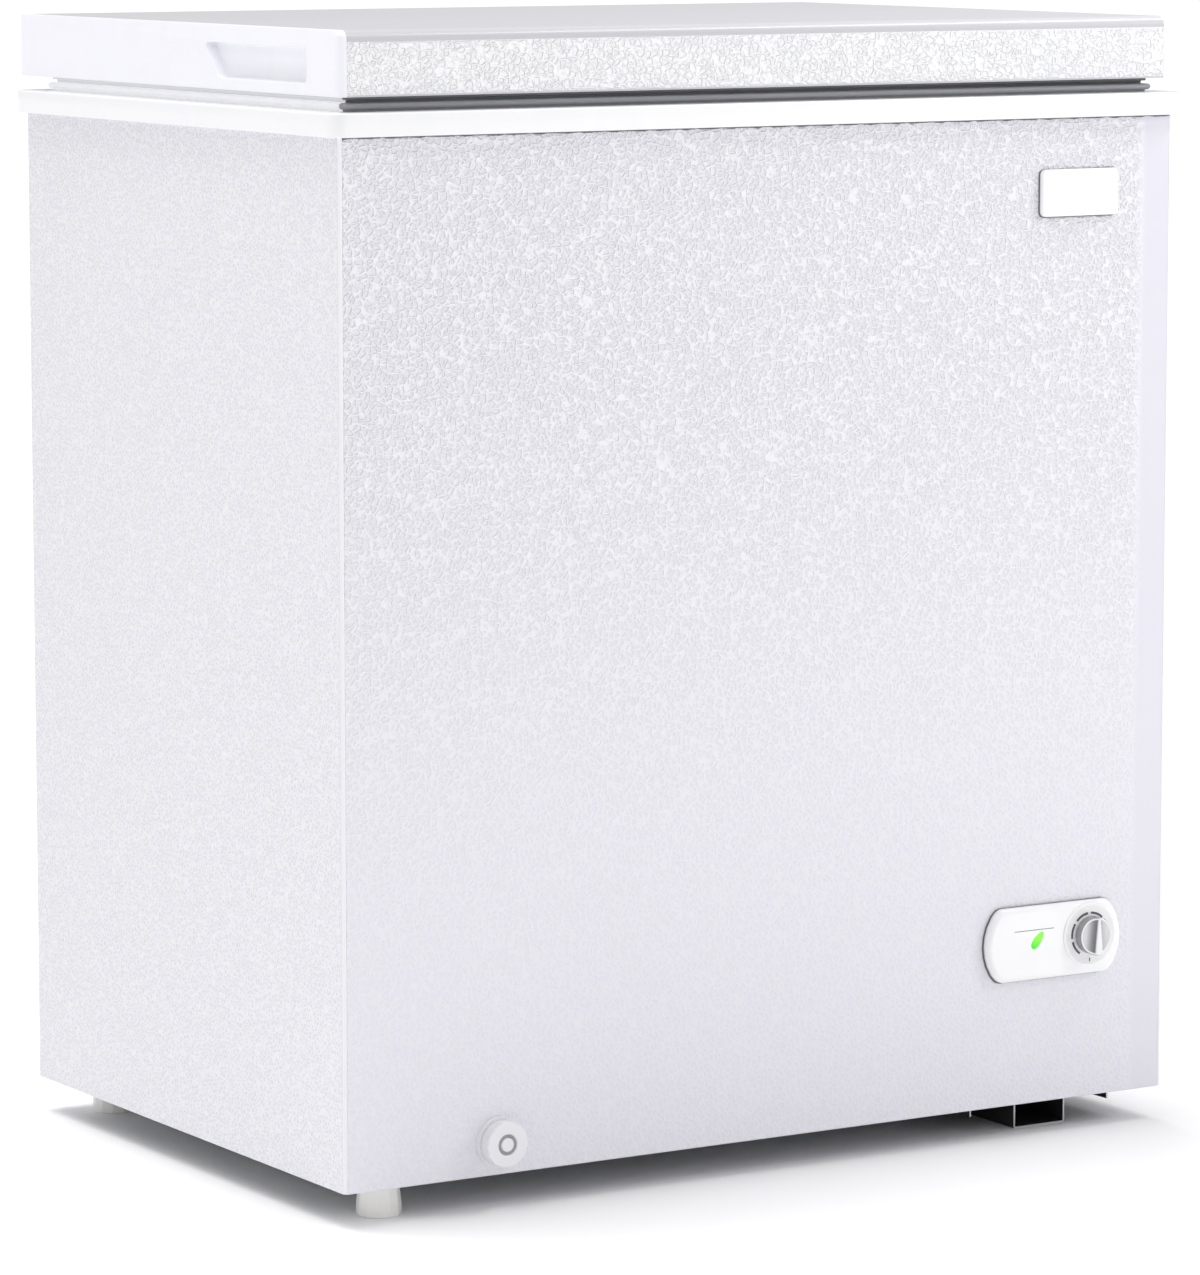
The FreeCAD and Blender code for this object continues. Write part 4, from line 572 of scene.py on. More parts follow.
def run_recipe(tree, points=((0, 0, 0),), **inputs):
    """Runs a tree on a few points and returns the plain mesh it makes."""
    seed = bpy.data.meshes.new("seed")
    seed.from_pydata([tuple(p) for p in points], [], [])
    holder = bpy.data.objects.new("seed", seed)
    bpy.context.scene.collection.objects.link(holder)
    modifier = holder.modifiers.new("recipe", "NODES")
    modifier.node_group = tree
    for item in tree.interface.items_tree:
        if item.in_out == "INPUT" and item.name in inputs:
            modifier[item.identifier] = inputs[item.name]
    made = bpy.data.meshes.new_from_object(holder.evaluated_get(bpy.context.evaluated_depsgraph_get()))
    bpy.data.objects.remove(holder)
    bpy.data.meshes.remove(seed)
    return made


def repeat_recipe():
    """The same unit at every point, all turned alike."""
    nodes, given = recipe("repeat_unit", {"Unit": "Object", "Turn": "Rotation", "Finish": "Material"})
    unit = nodes.add("GeometryNodeObjectInfo", sockets={"Object": given["Unit"]}, out="Geometry")
    copies = nodes.add("GeometryNodeInstanceOnPoints", sockets={
        "Points": given["Geometry"], "Instance": unit, "Rotation": given["Turn"]})
    return close_recipe(nodes, copies, given["Finish"])


def dial_recipe():
    """The same unit repeated round a dial in the XZ plane, from a start angle in equal steps."""
    nodes, given = recipe("round_a_dial", {
        "Unit": "Object", "Count": "Int", "Start": "Float", "Step": "Float", "Centre": "Vector",
        "Finish": "Material"})
    index = nodes.add("GeometryNodeInputIndex")
    angle = index * given["Step"] + given["Start"]
    marks = nodes.add("GeometryNodePoints", sockets={"Count": given["Count"], "Position": given["Centre"]})
    spin = nodes.add("ShaderNodeCombineXYZ", sockets={"Y": angle})
    unit = nodes.add("GeometryNodeObjectInfo", sockets={"Object": given["Unit"]}, out="Geometry")
    copies = nodes.add("GeometryNodeInstanceOnPoints", sockets={
        "Points": marks, "Instance": unit, "Rotation": spin})
    return close_recipe(nodes, copies, given["Finish"])


def net_recipe():
    """A welded mat of round wires in the XZ plane: uprights, and cross wires one wire behind them."""
    nodes, given = recipe("wire_net", {
        "Width": "Float", "Height": "Float", "Pitch": "Float", "Wire": "Float", "Finish": "Material"})
    width, height, pitch, wire = (given[k] for k in ("Width", "Height", "Pitch", "Wire"))

    def row(length, along, start, end):
        count = nodes.add("ShaderNodeMath", {"operation": "ROUND"}, {0: length / pitch}) + 1
        step = nodes.add("ShaderNodeCombineXYZ", sockets={along: length / (count - 1)})
        spots = nodes.add("GeometryNodeMeshLine", {"mode": "OFFSET"}, {"Count": count, "Offset": step})
        rod = nodes.add("GeometryNodeCurvePrimitiveLine", sockets={"Start": start, "End": end})
        return nodes.add("GeometryNodeInstanceOnPoints", sockets={"Points": spots, "Instance": rod})

    zero = nodes.add("ShaderNodeCombineXYZ")
    uprights = row(width, "X", zero, nodes.add("ShaderNodeCombineXYZ", sockets={"Z": height}))
    crossing = row(height, "Z", nodes.add("ShaderNodeCombineXYZ", sockets={"Y": wire}),
                   nodes.add("ShaderNodeCombineXYZ", sockets={"X": width, "Y": wire}))
    both = nodes.add("GeometryNodeJoinGeometry", sockets={0: uprights})
    nodes.tree.links.new(crossing.socket, both.socket.node.inputs[0])
    rods = nodes.add("GeometryNodeRealizeInstances", sockets={0: both})
    ring = nodes.add("GeometryNodeCurvePrimitiveCircle", sockets={"Resolution": 8, "Radius": wire / 2})
    tubes = nodes.add("GeometryNodeCurveToMesh", sockets={
        "Curve": rods, "Profile Curve": ring, "Fill Caps": True})
    return close_recipe(nodes, tubes, given["Finish"])


REPEAT, DIAL, NET = repeat_recipe(), dial_recipe(), net_recipe()


def unit_object(shape, name="unit"):
    """A shape as an object for a recipe to copy."""
    mesh = bpy.data.meshes.new(name)
    shape.to_mesh(mesh)
    shape.free()
    made = bpy.data.objects.new(name, mesh)
    bpy.context.scene.collection.objects.link(made)
    return made


def discard(unit):
    mesh = unit.data
    bpy.data.objects.remove(unit)
    bpy.data.meshes.remove(mesh)


# ------------------------------------------------------------------ cabinet
def front_sheet():
    """Front skin with its bottom hem folded back under the cabinet."""
    hem = 40 * MM
    path = [(FRONT, RIM_UNDER), (FRONT, BASE), (FRONT + hem, BASE)]
    section, radii = bent(path, STEEL, 1.3 * MM)
    sheet = drawn(section, radii, (SHEET_LEFT, SHEET_RIGHT), lambda u, v, s: (s, u, v))
    piece("front_sheet", [sheet], front_steel, "cabinet", ["front_panel"], bevel=0.15 * MM)


def side_sheet(word, side):
    """Side skin wrapped round both vertical corners, with a hem turned in at its bottom edge."""
    edge = side * RIGHT
    seam = side * (RIGHT - 3 * MM)
    path = [(seam, FRONT), (edge, FRONT), (edge, REAR), (seam, REAR)]
    if side < 0:
        path = path[::-1]
    section, radii = bent(path, STEEL, 2.2 * MM)
    wall = drawn(section, radii, (BASE + 0.6 * MM, RIM_UNDER), from_above)
    inside = side * (RIGHT - STEEL - 0.02 * MM)
    hem_path = [(inside, BASE + 10 * MM), (inside, BASE), (side * (RIGHT - 14 * MM), BASE)]
    if side > 0:
        hem_path = hem_path[::-1]
    hem, hem_radii = bent(hem_path, STEEL, 1.2 * MM)
    fold = drawn(hem, hem_radii, (FRONT + 4 * MM, REAR - 4 * MM), lambda u, v, s: (u, s, v))
    piece(f"{word}_side_sheet", [wall, fold], side_steel, "cabinet", [f"{word}_side_panel"],
          bevel=0.15 * MM)


def rim():
    """White frame round the cabinet's mouth: proud of the cabinet, with a ledge for the basket inside."""
    wall, ledge = CAV_Y0 - RIM_Y0, 8 * MM
    height = RIM_TOP - RIM_UNDER
    section = [(0, 0), (wall, 0), (wall, height - ledge), (wall - ledge, height - ledge),
               (wall - ledge, height), (0, height)]
    levels = round_off(section, [0.6 * MM, 1 * MM, 0.8 * MM, 0.5 * MM, 1.2 * MM, 1.5 * MM], 4)
    raised = [(u, RIM_UNDER + v) for u, v in levels]
    frame_shape = moulding(rectangle(RIM_X0, RIM_X1, RIM_Y0, RIM_Y1), 12 * MM, raised, from_above,
                           closed=True, least=5 * MM, steps=8)
    piece("rim_frame", [frame_shape], rim_white, "cabinet", ["top_rim_frame"], sharp=50)


def liner():
    """Stepped inner tub with rounded corners, open at the top."""
    (_, step_x), _, (_, step_z) = span("stepped_bottom_panel")
    bay_width, step_wall = 180 * MM, 55 * MM
    padding = step_wall - STEEL
    step_left = step_x - bay_width - padding
    step_top = step_z + padding
    floor, top = CAV_FLOOR, RIM_UNDER - 0.2 * MM
    tub = bmesh.new()
    outline = [(CAV_X0, floor), (step_left, floor), (step_left, step_top), (CAV_X1, step_top), (CAV_X1, top),
               (CAV_X0, top)]
    rows = [[tub.verts.new((x, y, z)) for x, z in outline] for y in (CAV_Y0, CAV_Y1)]
    for i in range(len(outline)):
        tub.faces.new((rows[0][i - 1], rows[0][i], rows[1][i], rows[1][i - 1]))
    for row in rows:
        tub.faces.new(row)
    bmesh.ops.recalc_face_normals(tub, faces=tub.faces)
    rounded = [e for e in tub.edges if min(v.co.z for v in e.verts) < top - MM]
    bmesh.ops.bevel(tub, geom=rounded, offset=14 * MM, segments=5, profile=0.5, affect="EDGES")
    lid_faces = [f for f in tub.faces if all(v.co.z > top - 0.1 * MM for v in f.verts)]
    bmesh.ops.delete(tub, geom=lid_faces, context="FACES")
    bmesh.ops.reverse_faces(tub, faces=tub.faces)
    made = piece("inner_tub", [tub], liner_white, "cabinet", ["inner_liner"], sharp=50)
    wall = made.modifiers.new("wall", "SOLIDIFY")
    wall.thickness, wall.offset = 0.9 * MM, -1


def rim_bead():
    """Uneven dark strip, a painted shadow line where the front sheet goes up under the rim's overhang."""
    proud, steps = 0.5 * MM, 160
    rings = []
    for k in range(steps + 1):
        x = SHEET_LEFT + (SHEET_RIGHT - SHEET_LEFT) * k / steps
        drop = (1.3 + 0.35 * math.sin(x * 310) + 0.25 * math.sin(x * 890 + 1)) * MM
        rings.append([(x, FRONT + TINY, RIM_UNDER), (x, FRONT - proud, RIM_UNDER),
                      (x, FRONT - proud, RIM_UNDER - drop), (x, FRONT + TINY, RIM_UNDER - drop)])
    piece("rim_bead", [skin_over(rings)], grey_rubber, "cabinet")


front_sheet()
rim_bead()
side_sheet("left", -1)
side_sheet("right", 1)
rim()
liner()


# ------------------------------------------------------------------ things on the front
# How far the painted shadows behind pieces on the front are shifted to the left and down.
SHADOW_SHIFT_LEFT, SHADOW_SHIFT_DOWN = 0.3 * MM, 0.35 * MM


def shadow_pad(name, outline, radius, x, z):
    """Thin dark pad behind a piece on the sheet, shifted left and down so it peeps out at the piece's left
    and lower edges as a painted shadow.
    """
    proud, out = 0.9 * MM, 0.45 * MM
    behind = on_front(x - SHADOW_SHIFT_LEFT, z - SHADOW_SHIFT_DOWN)
    pad = moulding(inset(outline, -out), radius + out, [(0, 0), (0, proud)], behind)
    piece(name, [pad], grey_rubber, "cabinet")


def badge():
    """Blank badge plate with softly rounded edges."""
    (x0, x1), (y0, y1), (z0, z1) = span("badge_plate")
    half_x, half_z = (x1 - x0) / 2, (z1 - z0) / 2
    outline = rectangle(-half_x, half_x, -half_z, half_z)
    levels = soft_edge(1.7 * MM, y1 - y0) + [(6 * MM, y1 - y0), (8 * MM, y1 - y0 - 0.15 * MM)]
    x, _, z = centre("badge_plate")
    # Painted shadow behind the badge.
    shadow_pad("badge_gap", outline, 4 * MM, x, z)
    plate = moulding(outline, 4 * MM, levels, on_front(x, z))
    piece("badge", [plate], gloss_white, "cabinet", ["badge_plate"], sharp=50)


def bulged_panel(half_x, half_z, bulge, steps=8):
    """Outline of a rectangle whose two ends bow outwards."""
    radius = (half_z ** 2 + bulge ** 2) / (2 * bulge)
    reach = math.asin(half_z / radius)
    middle = half_x + bulge - radius
    bow = [(-1 + 2 * k / steps) * reach for k in range(steps + 1)]
    right = [(middle + radius * math.cos(a), radius * math.sin(a)) for a in bow]
    return right + [(-x, -z) for x, z in right]


def control_panel():
    """Glossy bow-ended panel with a fine printed line."""
    (x0, x1), (y0, y1), (z0, z1) = span("control_panel")
    x, _, z = centre("control_panel")
    half_x, half_z, deep, bulge = (x1 - x0) / 2 - 12 * MM, (z1 - z0) / 2, y1 - y0, 12 * MM
    outline = bulged_panel(half_x, half_z, bulge)
    radii = [10 * MM if i % 9 in (0, 8) else TINY for i in range(len(outline))]
    # Painted shadow: a dark pad behind the panel peeps out at its left and lower edges.
    shadow_outline = round_off(inset(outline, -0.5 * MM), radii)
    behind = on_front(x - SHADOW_SHIFT_LEFT, z - SHADOW_SHIFT_DOWN)
    pad = skin_over([[behind(u, v, up) for u, v in shadow_outline] for up in (0, 1.2 * MM)])
    piece("panel_gap", [pad], grey_rubber, "cabinet")
    rings = []
    for inwards, up in [(0.5 * MM, 0), (0, 0.6 * MM)] + [(u, v) for u, v in soft_edge(4.5 * MM, deep, 7)[1:]]:
        rounded = round_off(inset(outline, inwards), [max(r - inwards, TINY) for r in radii])
        rings.append([on_front(x, z)(u, v, up) for u, v in rounded])
    piece("control_panel_shell", [skin_over(rings)], gloss_white, "cabinet", ["control_panel"],
          sharp=60)
    half_long, half_thick = 18.5 * MM, 0.25 * MM
    line = moulding(rectangle(-half_long, half_long, -half_thick, half_thick), 0.2 * MM,
                    [(0, 0), (0.02 * MM, 0.06 * MM)], on_front(x - 20 * MM, z + 10.6 * MM, y0))
    piece("printed_line", [line], print_grey, "cabinet")


def dial():
    """Raised bezel round the knob, its six printed arcs and the off mark at the bottom."""
    _, (y0, y1), _ = span("dial_ring")
    x, _, z = centre("dial_ring")
    up = y1 - y0
    levels = [(24.5 * MM, 0, 0), (24.4 * MM, 0.7 * up, 0), (23.9 * MM, up, 0), (22.6 * MM, up, 0),
              (21.8 * MM, 0.72 * up, 0), (14.0 * MM, 0.62 * up, 0), (4 * MM, 0.62 * up, 0)]
    piece("dial_bezel", [turned(levels, on_front(x, z, y1))], gloss_white, "cabinet", ["dial_ring"],
          sharp=60)
    face = y1 - 0.62 * up
    arc = [math.radians(-20 + 40 * k / 10) for k in range(11)]
    inner, outer = 15.9 * MM, 17.6 * MM
    strip = bmesh.new()
    rows = [[strip.verts.new((r * math.sin(a), lift, r * math.cos(a))) for a in arc]
            for r, lift in ((inner, 0), (inner, -0.25 * MM), (outer, -0.25 * MM), (outer, 0))]
    for near, far in zip(rows, rows[1:]):
        for i in range(len(arc) - 1):
            strip.faces.new((near[i], near[i + 1], far[i + 1], far[i]))
    bmesh.ops.recalc_face_normals(strip, faces=strip.faces)
    unit = unit_object(strip)
    marks = run_recipe(DIAL, Unit=unit, Count=6, Start=math.radians(-126), Step=math.radians(49.5),
                       Centre=(x, face, z), Finish=print_grey)
    discard(unit)
    half_wide, half_tall = 0.5 * MM, 1.4 * MM
    off = moulding(rectangle(-half_wide, half_wide, -half_tall, half_tall), 0.3 * MM,
                   [(0, 0), (0.05 * MM, 0.2 * MM)], on_front(x, z - 19.6 * MM, face))
    piece("dial_marks", [marks, off], print_grey, "cabinet")


def knob():
    """Round knob scooped away on both flanks, which leaves a wedge-shaped pointer, narrow at the top."""
    (x0, x1), (y0, y1), _ = span("thermostat_knob")
    x, _, z = centre("thermostat_knob")
    radius, deep = (x1 - x0) / 2, y1 - y0
    scoop, wide_end, narrow_end = 4.6 * MM, 3.4 * MM, 0.7 * MM
    middle, growth = (wide_end + narrow_end) / 2, (narrow_end - wide_end) / (2 * radius)

    def face_level(u, v):
        pointer = middle + growth * v
        away = min(max((abs(u) - pointer) / (9 * MM), 0.0), 1.0)
        return deep - scoop * math.sqrt(1 - (1 - away) ** 2) * 0.92

    count, rounds, rings = 96, 40, []
    angles = [math.tau * k / count for k in range(count)]
    put = on_front(x, z, y1)
    skirt = [(radius - 0.3 * MM, 0), (radius, 0.4 * MM), (radius, 2.4 * MM)]
    for reach, up in skirt:
        rings.append([put(reach * math.cos(a), reach * math.sin(a), up) for a in angles])
    for step in range(rounds):
        reach = radius * (1 - step / rounds)
        edge = min(1.0, (radius - reach) / (0.9 * MM))
        ring = []
        for a in angles:
            u, v = reach * math.cos(a), reach * math.sin(a)
            level = face_level(u, v) - 0.7 * MM * (1 - edge) ** 2
            ring.append(put(u, v, max(2.6 * MM, level)))
        rings.append(ring)
    finish = knob_skin(x, z, radius, (middle, growth))
    piece("dial_knob", [skin_over(rings)], finish, "knob", ["thermostat_knob"], sharp=40)


def lens():
    """Leaf-shaped, domed, lit lens that leans to the right."""
    x, _, z = centre("indicator_lens")
    face = span("control_panel")[1][0]
    half, wide, dome, lean = 7.9 * MM, 3.5 * MM, 1.5 * MM, math.radians(51)
    flat, steep = math.cos(lean), math.sin(lean)
    put = on_front(x, z, face)
    edge = []
    for k in range(40):
        a = math.tau * k / 40
        along, across = half * math.cos(a), wide * math.sin(a) * (1 - 0.22 * math.cos(a))
        edge.append((along * flat - across * steep, along * steep + across * flat))
    rings = []
    for k in range(7):
        a = math.pi / 2 * k / 6.3
        rings.append([put(u * math.cos(a), v * math.cos(a), dome * math.sin(a)) for u, v in edge])
    piece("leaf_lens", [skin_over(rings)], lit_lens(x, z), "cabinet", ["indicator_lens"],
          sharp=60)


def drain():
    """Fourteen-sided drain dial, and a grey ring painted as shade at the bottom of its groove."""
    x, _, z = centre("drain_dial")
    _, (front, back), _ = span("drain_dial")
    deep = back - front
    bottom = deep - 1.8 * MM
    lip = deep - 0.4 * MM
    stations = [(16.2 * MM, 0, 0.8), (17 * MM, 0.8 * MM, 1), (17 * MM, deep - 0.8 * MM, 1),
                (16.3 * MM, deep, 1), (8.1 * MM, deep, 0), (7.8 * MM, lip, 0), (7.7 * MM, bottom, 0),
                (5.2 * MM, bottom, 0), (5.0 * MM, lip, 0), (4.7 * MM, deep, 0), (1.0 * MM, deep, 0)]
    groove = [(7.6 * MM, bottom, 0), (7.6 * MM, bottom + 0.3 * MM, 0), (5.3 * MM, bottom + 0.3 * MM, 0),
              (5.3 * MM, bottom, 0)]
    put = on_front(x, z, back)
    piece("drain_groove", [turned(groove, put)], groove_grey, "drain_dial")
    piece("drain_knob", [turned(stations, put, sides=14, count=84)], satin_white, "drain_dial",
          ["drain_dial"], sharp=30)


badge()
control_panel()
dial()
knob()
lens()
drain()


# ------------------------------------------------------------------ underside
def feet():
    """Twelve-sided feet with a rounded sole and a screw well."""
    for place in ("front", "rear"):
        node = f"{place}_left_foot"
        (x0, x1), _, (_, z1) = span(node)
        x, y, _ = centre(node)
        wide = (x1 - x0) / 2
        stations = [(4.3 * MM, z1 - 6 * MM, 0), (4.3 * MM, 1.0 * MM, 0), (5.0 * MM, 0, 0),
                    (wide - 0.7 * MM, 0, 1), (wide, 0.7 * MM, 1), (wide - 0.1 * MM, 9 * MM, 1),
                    (wide - 2.2 * MM, z1, 1)]
        foot = turned(stations, lambda u, v, up: (x + u, y + v, up))
        piece(f"{place}_foot", [foot], foot_white, "cabinet", [node], sharp=18)


def base_plate():
    """Folded black plate with a channel along its middle; its cut ends show bare metal."""
    (x0, x1), (y0, y1), _ = span("compressor_base_plate")
    x = (x0 + x1) / 2
    half, hollow, lip, sheet = (x1 - x0) / 2, 24 * MM, 12 * MM, 1.3 * MM
    path = [(half, BASE - lip), (half, BASE), (hollow - sheet, BASE), (hollow - sheet, sheet)]
    outer = path + [(-u, v) for u, v in reversed(path)]
    section, radii = bent(outer, sheet, 2.0 * MM)
    plate = drawn(section, radii, (y0, y1), lambda u, v, s: (x + u, s, v), cap_slot=1)
    piece("folded_base_plate", [plate], [black_paint, cut_edge], "cabinet", ["compressor_base_plate"],
          sharp=40)


feet()
base_plate()


# ------------------------------------------------------------------ lid
def lid_outline(ahead=0.0, over=0.0, behind=0.0, under=0.0, front_round=7 * MM, rear_round=3 * MM):
    """Side view of the lid as (y, z), pulled in by the given amounts."""
    y0, y1 = LID_FRONT + ahead, LID_REAR - behind
    z0, z1 = LID_UNDER + under, LID_TOP - over
    crisp = 0.3 * MM
    return round_off(rectangle(y0, y1, z0, z1), [crisp, crisp, rear_round, front_round], 8)


CAP_SHORT = 1.5 * MM
SKIN_END = RIGHT - CAP_SHORT - 6.6 * MM


def lid_skin():
    """Folded outer skin between the end caps: embossed front and smooth top."""
    path = [(LID_REAR, LID_UNDER), (LID_REAR, LID_TOP), (LID_FRONT, LID_TOP), (LID_FRONT, LID_UNDER)]
    section, _ = bent(path, STEEL, 7 * MM)
    radii = [0.3 * MM, 3 * MM, 7 * MM, 0.3 * MM, 0.3 * MM, 6.2 * MM, 2.2 * MM, 0.3 * MM]
    rounded = round_off(section, radii, 8)
    half = SKIN_END - 0.1 * MM
    skin = skin_over([[(x, y, z) for y, z in rounded] for x in (-half, half)])
    piece("lid_skin", [skin], lid_steel, "lid", ["lid_outer_skin"], bevel=0.1 * MM)


def lid_cap(word, side):
    """Moulded end cap: crisp top edge, rounded front corner, and a finger grip with a slanted rear end."""
    corner, crisp = 6.5 * MM, 0.7 * MM
    tongue = lid_outline(1.2 * MM, 1.2 * MM, 1.2 * MM, 0.4 * MM)
    rings = [[(side * abs(CAP_INNER), y, z) for y, z in tongue],
             [(side * SKIN_END, y, z) for y, z in tongue],
             [(side * SKIN_END, y, z) for y, z in lid_outline()]]
    for k in range(1, 10):
        a = math.pi / 2 * k / 9
        ahead = corner * (1 - math.cos(a))
        out = corner * math.sin(a)
        near = max(0.0, out - corner + crisp)
        over = crisp - math.sqrt(max(crisp ** 2 - near ** 2, 0.0))
        behind = 3 * MM * (1 - math.cos(a))
        rings.append([(side * SKIN_END + side * (0.1 * MM + out), y, z) for y, z in
                      lid_outline(ahead, over, behind, over, max(7 * MM - ahead * 0.2, 5 * MM))])
    shape = bmesh.new()
    rows = [[shape.verts.new(p) for p in ring] for ring in rings]
    for near_row, far_row in zip(rows, rows[1:]):
        for i in range(len(near_row)):
            shape.faces.new((near_row[i - 1], near_row[i], far_row[i], far_row[i - 1]))
    shape.faces.new(rows[0])
    side_x = rows[-1][0].co.x
    near_y, far_y = FRONT + 48 * MM, FRONT + 201 * MM
    low, high = LID_UNDER + 8.1 * MM, LID_UNDER + 33.7 * MM
    corners = [(near_y, low), (far_y - 23 * MM, low), (far_y, high), (near_y, high)]
    rounding = [6 * MM, 9 * MM, 2.2 * MM, 2.6 * MM]
    deep, lip, foot = 8 * MM, 0.7 * MM, 1.6 * MM
    levels = [(-lip, 0.0), (-0.3 * lip, 0.25 * lip), (0.0, lip), (0.35 * MM, deep - foot),
              (0.35 * MM + 0.3 * foot, deep - 0.3 * foot), (0.35 * MM + foot, deep)]
    grip_rows = []
    for inwards, down in levels:
        ring = round_off(inset(corners, inwards), [max(r - inwards, TINY) for r in rounding], 6)
        grip_rows.append([shape.verts.new((side_x - side * down, y, z)) for y, z in ring])
    for near_row, far_row in zip(grip_rows, grip_rows[1:]):
        for i in range(len(near_row)):
            shape.faces.new((near_row[i - 1], near_row[i], far_row[i], far_row[i - 1]))
    shape.faces.new(grip_rows[-1])
    edges = []
    for row in (rows[-1], grip_rows[0]):
        for i, vert in enumerate(row):
            edges.append(shape.edges.get((vert, row[i - 1])) or shape.edges.new((vert, row[i - 1])))
    bmesh.ops.triangle_fill(shape, use_beauty=True, edges=edges)
    bmesh.ops.recalc_face_normals(shape, faces=shape.faces)
    piece(f"{word}_lid_cap", [shape], cap_white, "lid", [f"lid_{word}_end_cap"], sharp=28)


def lid_pan():
    """Moulded inner lining of the lid, dished downwards inside the seal, with a raised field."""
    edge = rectangle(-SKIN_END + 1 * MM, SKIN_END - 1 * MM, LID_FRONT + 1.2 * MM, LID_REAR - 1.2 * MM)
    low, high = LID_UNDER + 0.05 * MM, LID_UNDER + 1.5 * MM
    turned_in = [(0, high), (0, low + 0.4 * MM), (0.4 * MM, low), (30 * MM, low)]
    sheet = moulding(edge, 3 * MM, turned_in, from_above)
    side, along = RIGHT - 43 * MM, REAR - 43 * MM
    dish = rectangle(-side, side, -along, along)
    _, _, (lowest, _) = span("lid_inner_panel")
    turn = [(2.2 * MM * (1 - math.cos(a)), lowest + 2.2 * MM * (1 - math.sin(a)))
            for a in (math.pi / 2 * k / 5 for k in range(6))]
    field = [(34 * MM, lowest), (35 * MM, lowest + 0.7 * MM), (36 * MM, lowest + 1.0 * MM),
             (120 * MM, lowest + 1.0 * MM)]
    pan = moulding(dish, 18 * MM, [(0, low + 0.3 * MM)] + turn + field, from_above, least=6 * MM, steps=8)
    piece("lid_lining", [sheet, pan], liner_white, "lid", ["lid_inner_panel"], sharp=50)


def lid_seal():
    """Magnetic seal: lip under the lid, narrow neck, rounded bulb that holds the magnet, and a foot."""
    top, foot = (LID_UNDER - RIM_TOP) / MM, 0.05
    section = [(26, foot), (26, 1.5), (29, 1.6), (29, 5.9), (24, 6.0), (24, 8.2), (26, 8.4), (26, top),
               (14.6, top), (14.6, 8.3), (17.2, 8.1), (17.2, 6.1), (12, 5.9), (12, 1.7), (15, 1.5),
               (15, foot)]
    radii = [0.2, 0.3, 1.4, 1.4, 0.3, 0.3, 0.4, 0.2, 0.2, 0.5, 0.4, 0.4, 1.8, 1.8, 0.3, 0.2]
    levels = round_off([(u * MM, v * MM) for u, v in section], [r * MM for r in radii], 3)
    ring = moulding(rectangle(LEFT, RIGHT, FRONT, REAR), 1 * MM, [(u, RIM_TOP + v) for u, v in levels],
                    from_above, closed=True, least=1 * MM, steps=2)
    piece("lid_seal", [ring], seal, "lid", ["lid_gasket"], sharp=40)


lid_skin()
lid_cap("left", -1)
lid_cap("right", 1)
lid_pan()
lid_seal()


# ------------------------------------------------------------------ basket
def tube(points, radius, closed=False):
    """A round wire along points, as a plain mesh."""
    curve = bpy.data.curves.new("wire", "CURVE")
    curve.dimensions, curve.bevel_depth, curve.bevel_resolution = "3D", radius, 3
    curve.use_fill_caps = True
    spline = curve.splines.new("POLY")
    spline.points.add(len(points) - 1)
    for spot, point in zip(spline.points, points):
        spot.co = (*point, 1)
    spline.use_cyclic_u = closed
    holder = bpy.data.objects.new("wire", curve)
    mesh = bpy.data.meshes.new_from_object(holder)
    bpy.data.objects.remove(holder)
    bpy.data.curves.remove(curve)
    mesh.materials.clear()
    return mesh


def basket():
    """Welded basket of coated round wires, hung by its two rails on the rim's ledge."""
    (x0, x1), (y0, y1), (z0, z1) = span("storage_basket")
    wire, frame_wire, pitch = 3 * MM, 5 * MM, 26 * MM
    rail_out = 12.5 * MM
    front, rear = y0 + rail_out, y1 - rail_out
    r = wire / 2
    turn_to_side = Matrix.Rotation(math.pi / 2, 4, "Z")
    turn_flat = Matrix.Rotation(-math.pi / 2, 4, "X")
    wide, deep, tall = x1 - x0 - 2 * r, rear - front - 2 * r, z1 - z0 - frame_wire / 2 - r
    nets = [(wide, tall, Matrix.Translation((x0 + r, front + r, z0 + r))),
            (wide, tall, Matrix.Translation((x0 + r, rear - r - wire, z0 + r))),
            (deep, tall, Matrix.Translation((x0 + r + wire, front + r, z0 + r)) @ turn_to_side),
            (deep, tall, Matrix.Translation((x1 - r, front + r, z0 + r)) @ turn_to_side),
            (wide, deep, Matrix.Translation((x0 + r, front + r, z0 + r + wire)) @ turn_flat)]
    meshes = []
    for across, up, place in nets:
        net = run_recipe(NET, Width=across, Height=up, Pitch=pitch, Wire=wire, Finish=coated_wire)
        net.transform(place)
        net.materials.clear()
        meshes.append(net)
    top = z1 - frame_wire / 2
    loop = round_off(rectangle(x0 + r, x1 - r, front + r, rear - r), [10 * MM] * 4, 6)
    meshes.append(tube([(x, y, top) for x, y in loop], frame_wire / 2 * 0.98, closed=True))
    for side, wall in ((-1, front), (1, rear)):
        rail = (y0 + frame_wire / 2) if side < 0 else (y1 - frame_wire / 2)
        inner = wall - side * r
        left, right = x0 + 12 * MM, x1 - 12 * MM
        path = round_off([(left, inner), (left, rail), (right, rail), (right, inner)],
                         [TINY, 5 * MM, 5 * MM, TINY], 5)
        meshes.append(tube([(x, y, top) for x, y in path], frame_wire / 2 * 0.98))
    piece("wire_basket", meshes, coated_wire, "basket", ["storage_basket"], sharp=60)


basket()


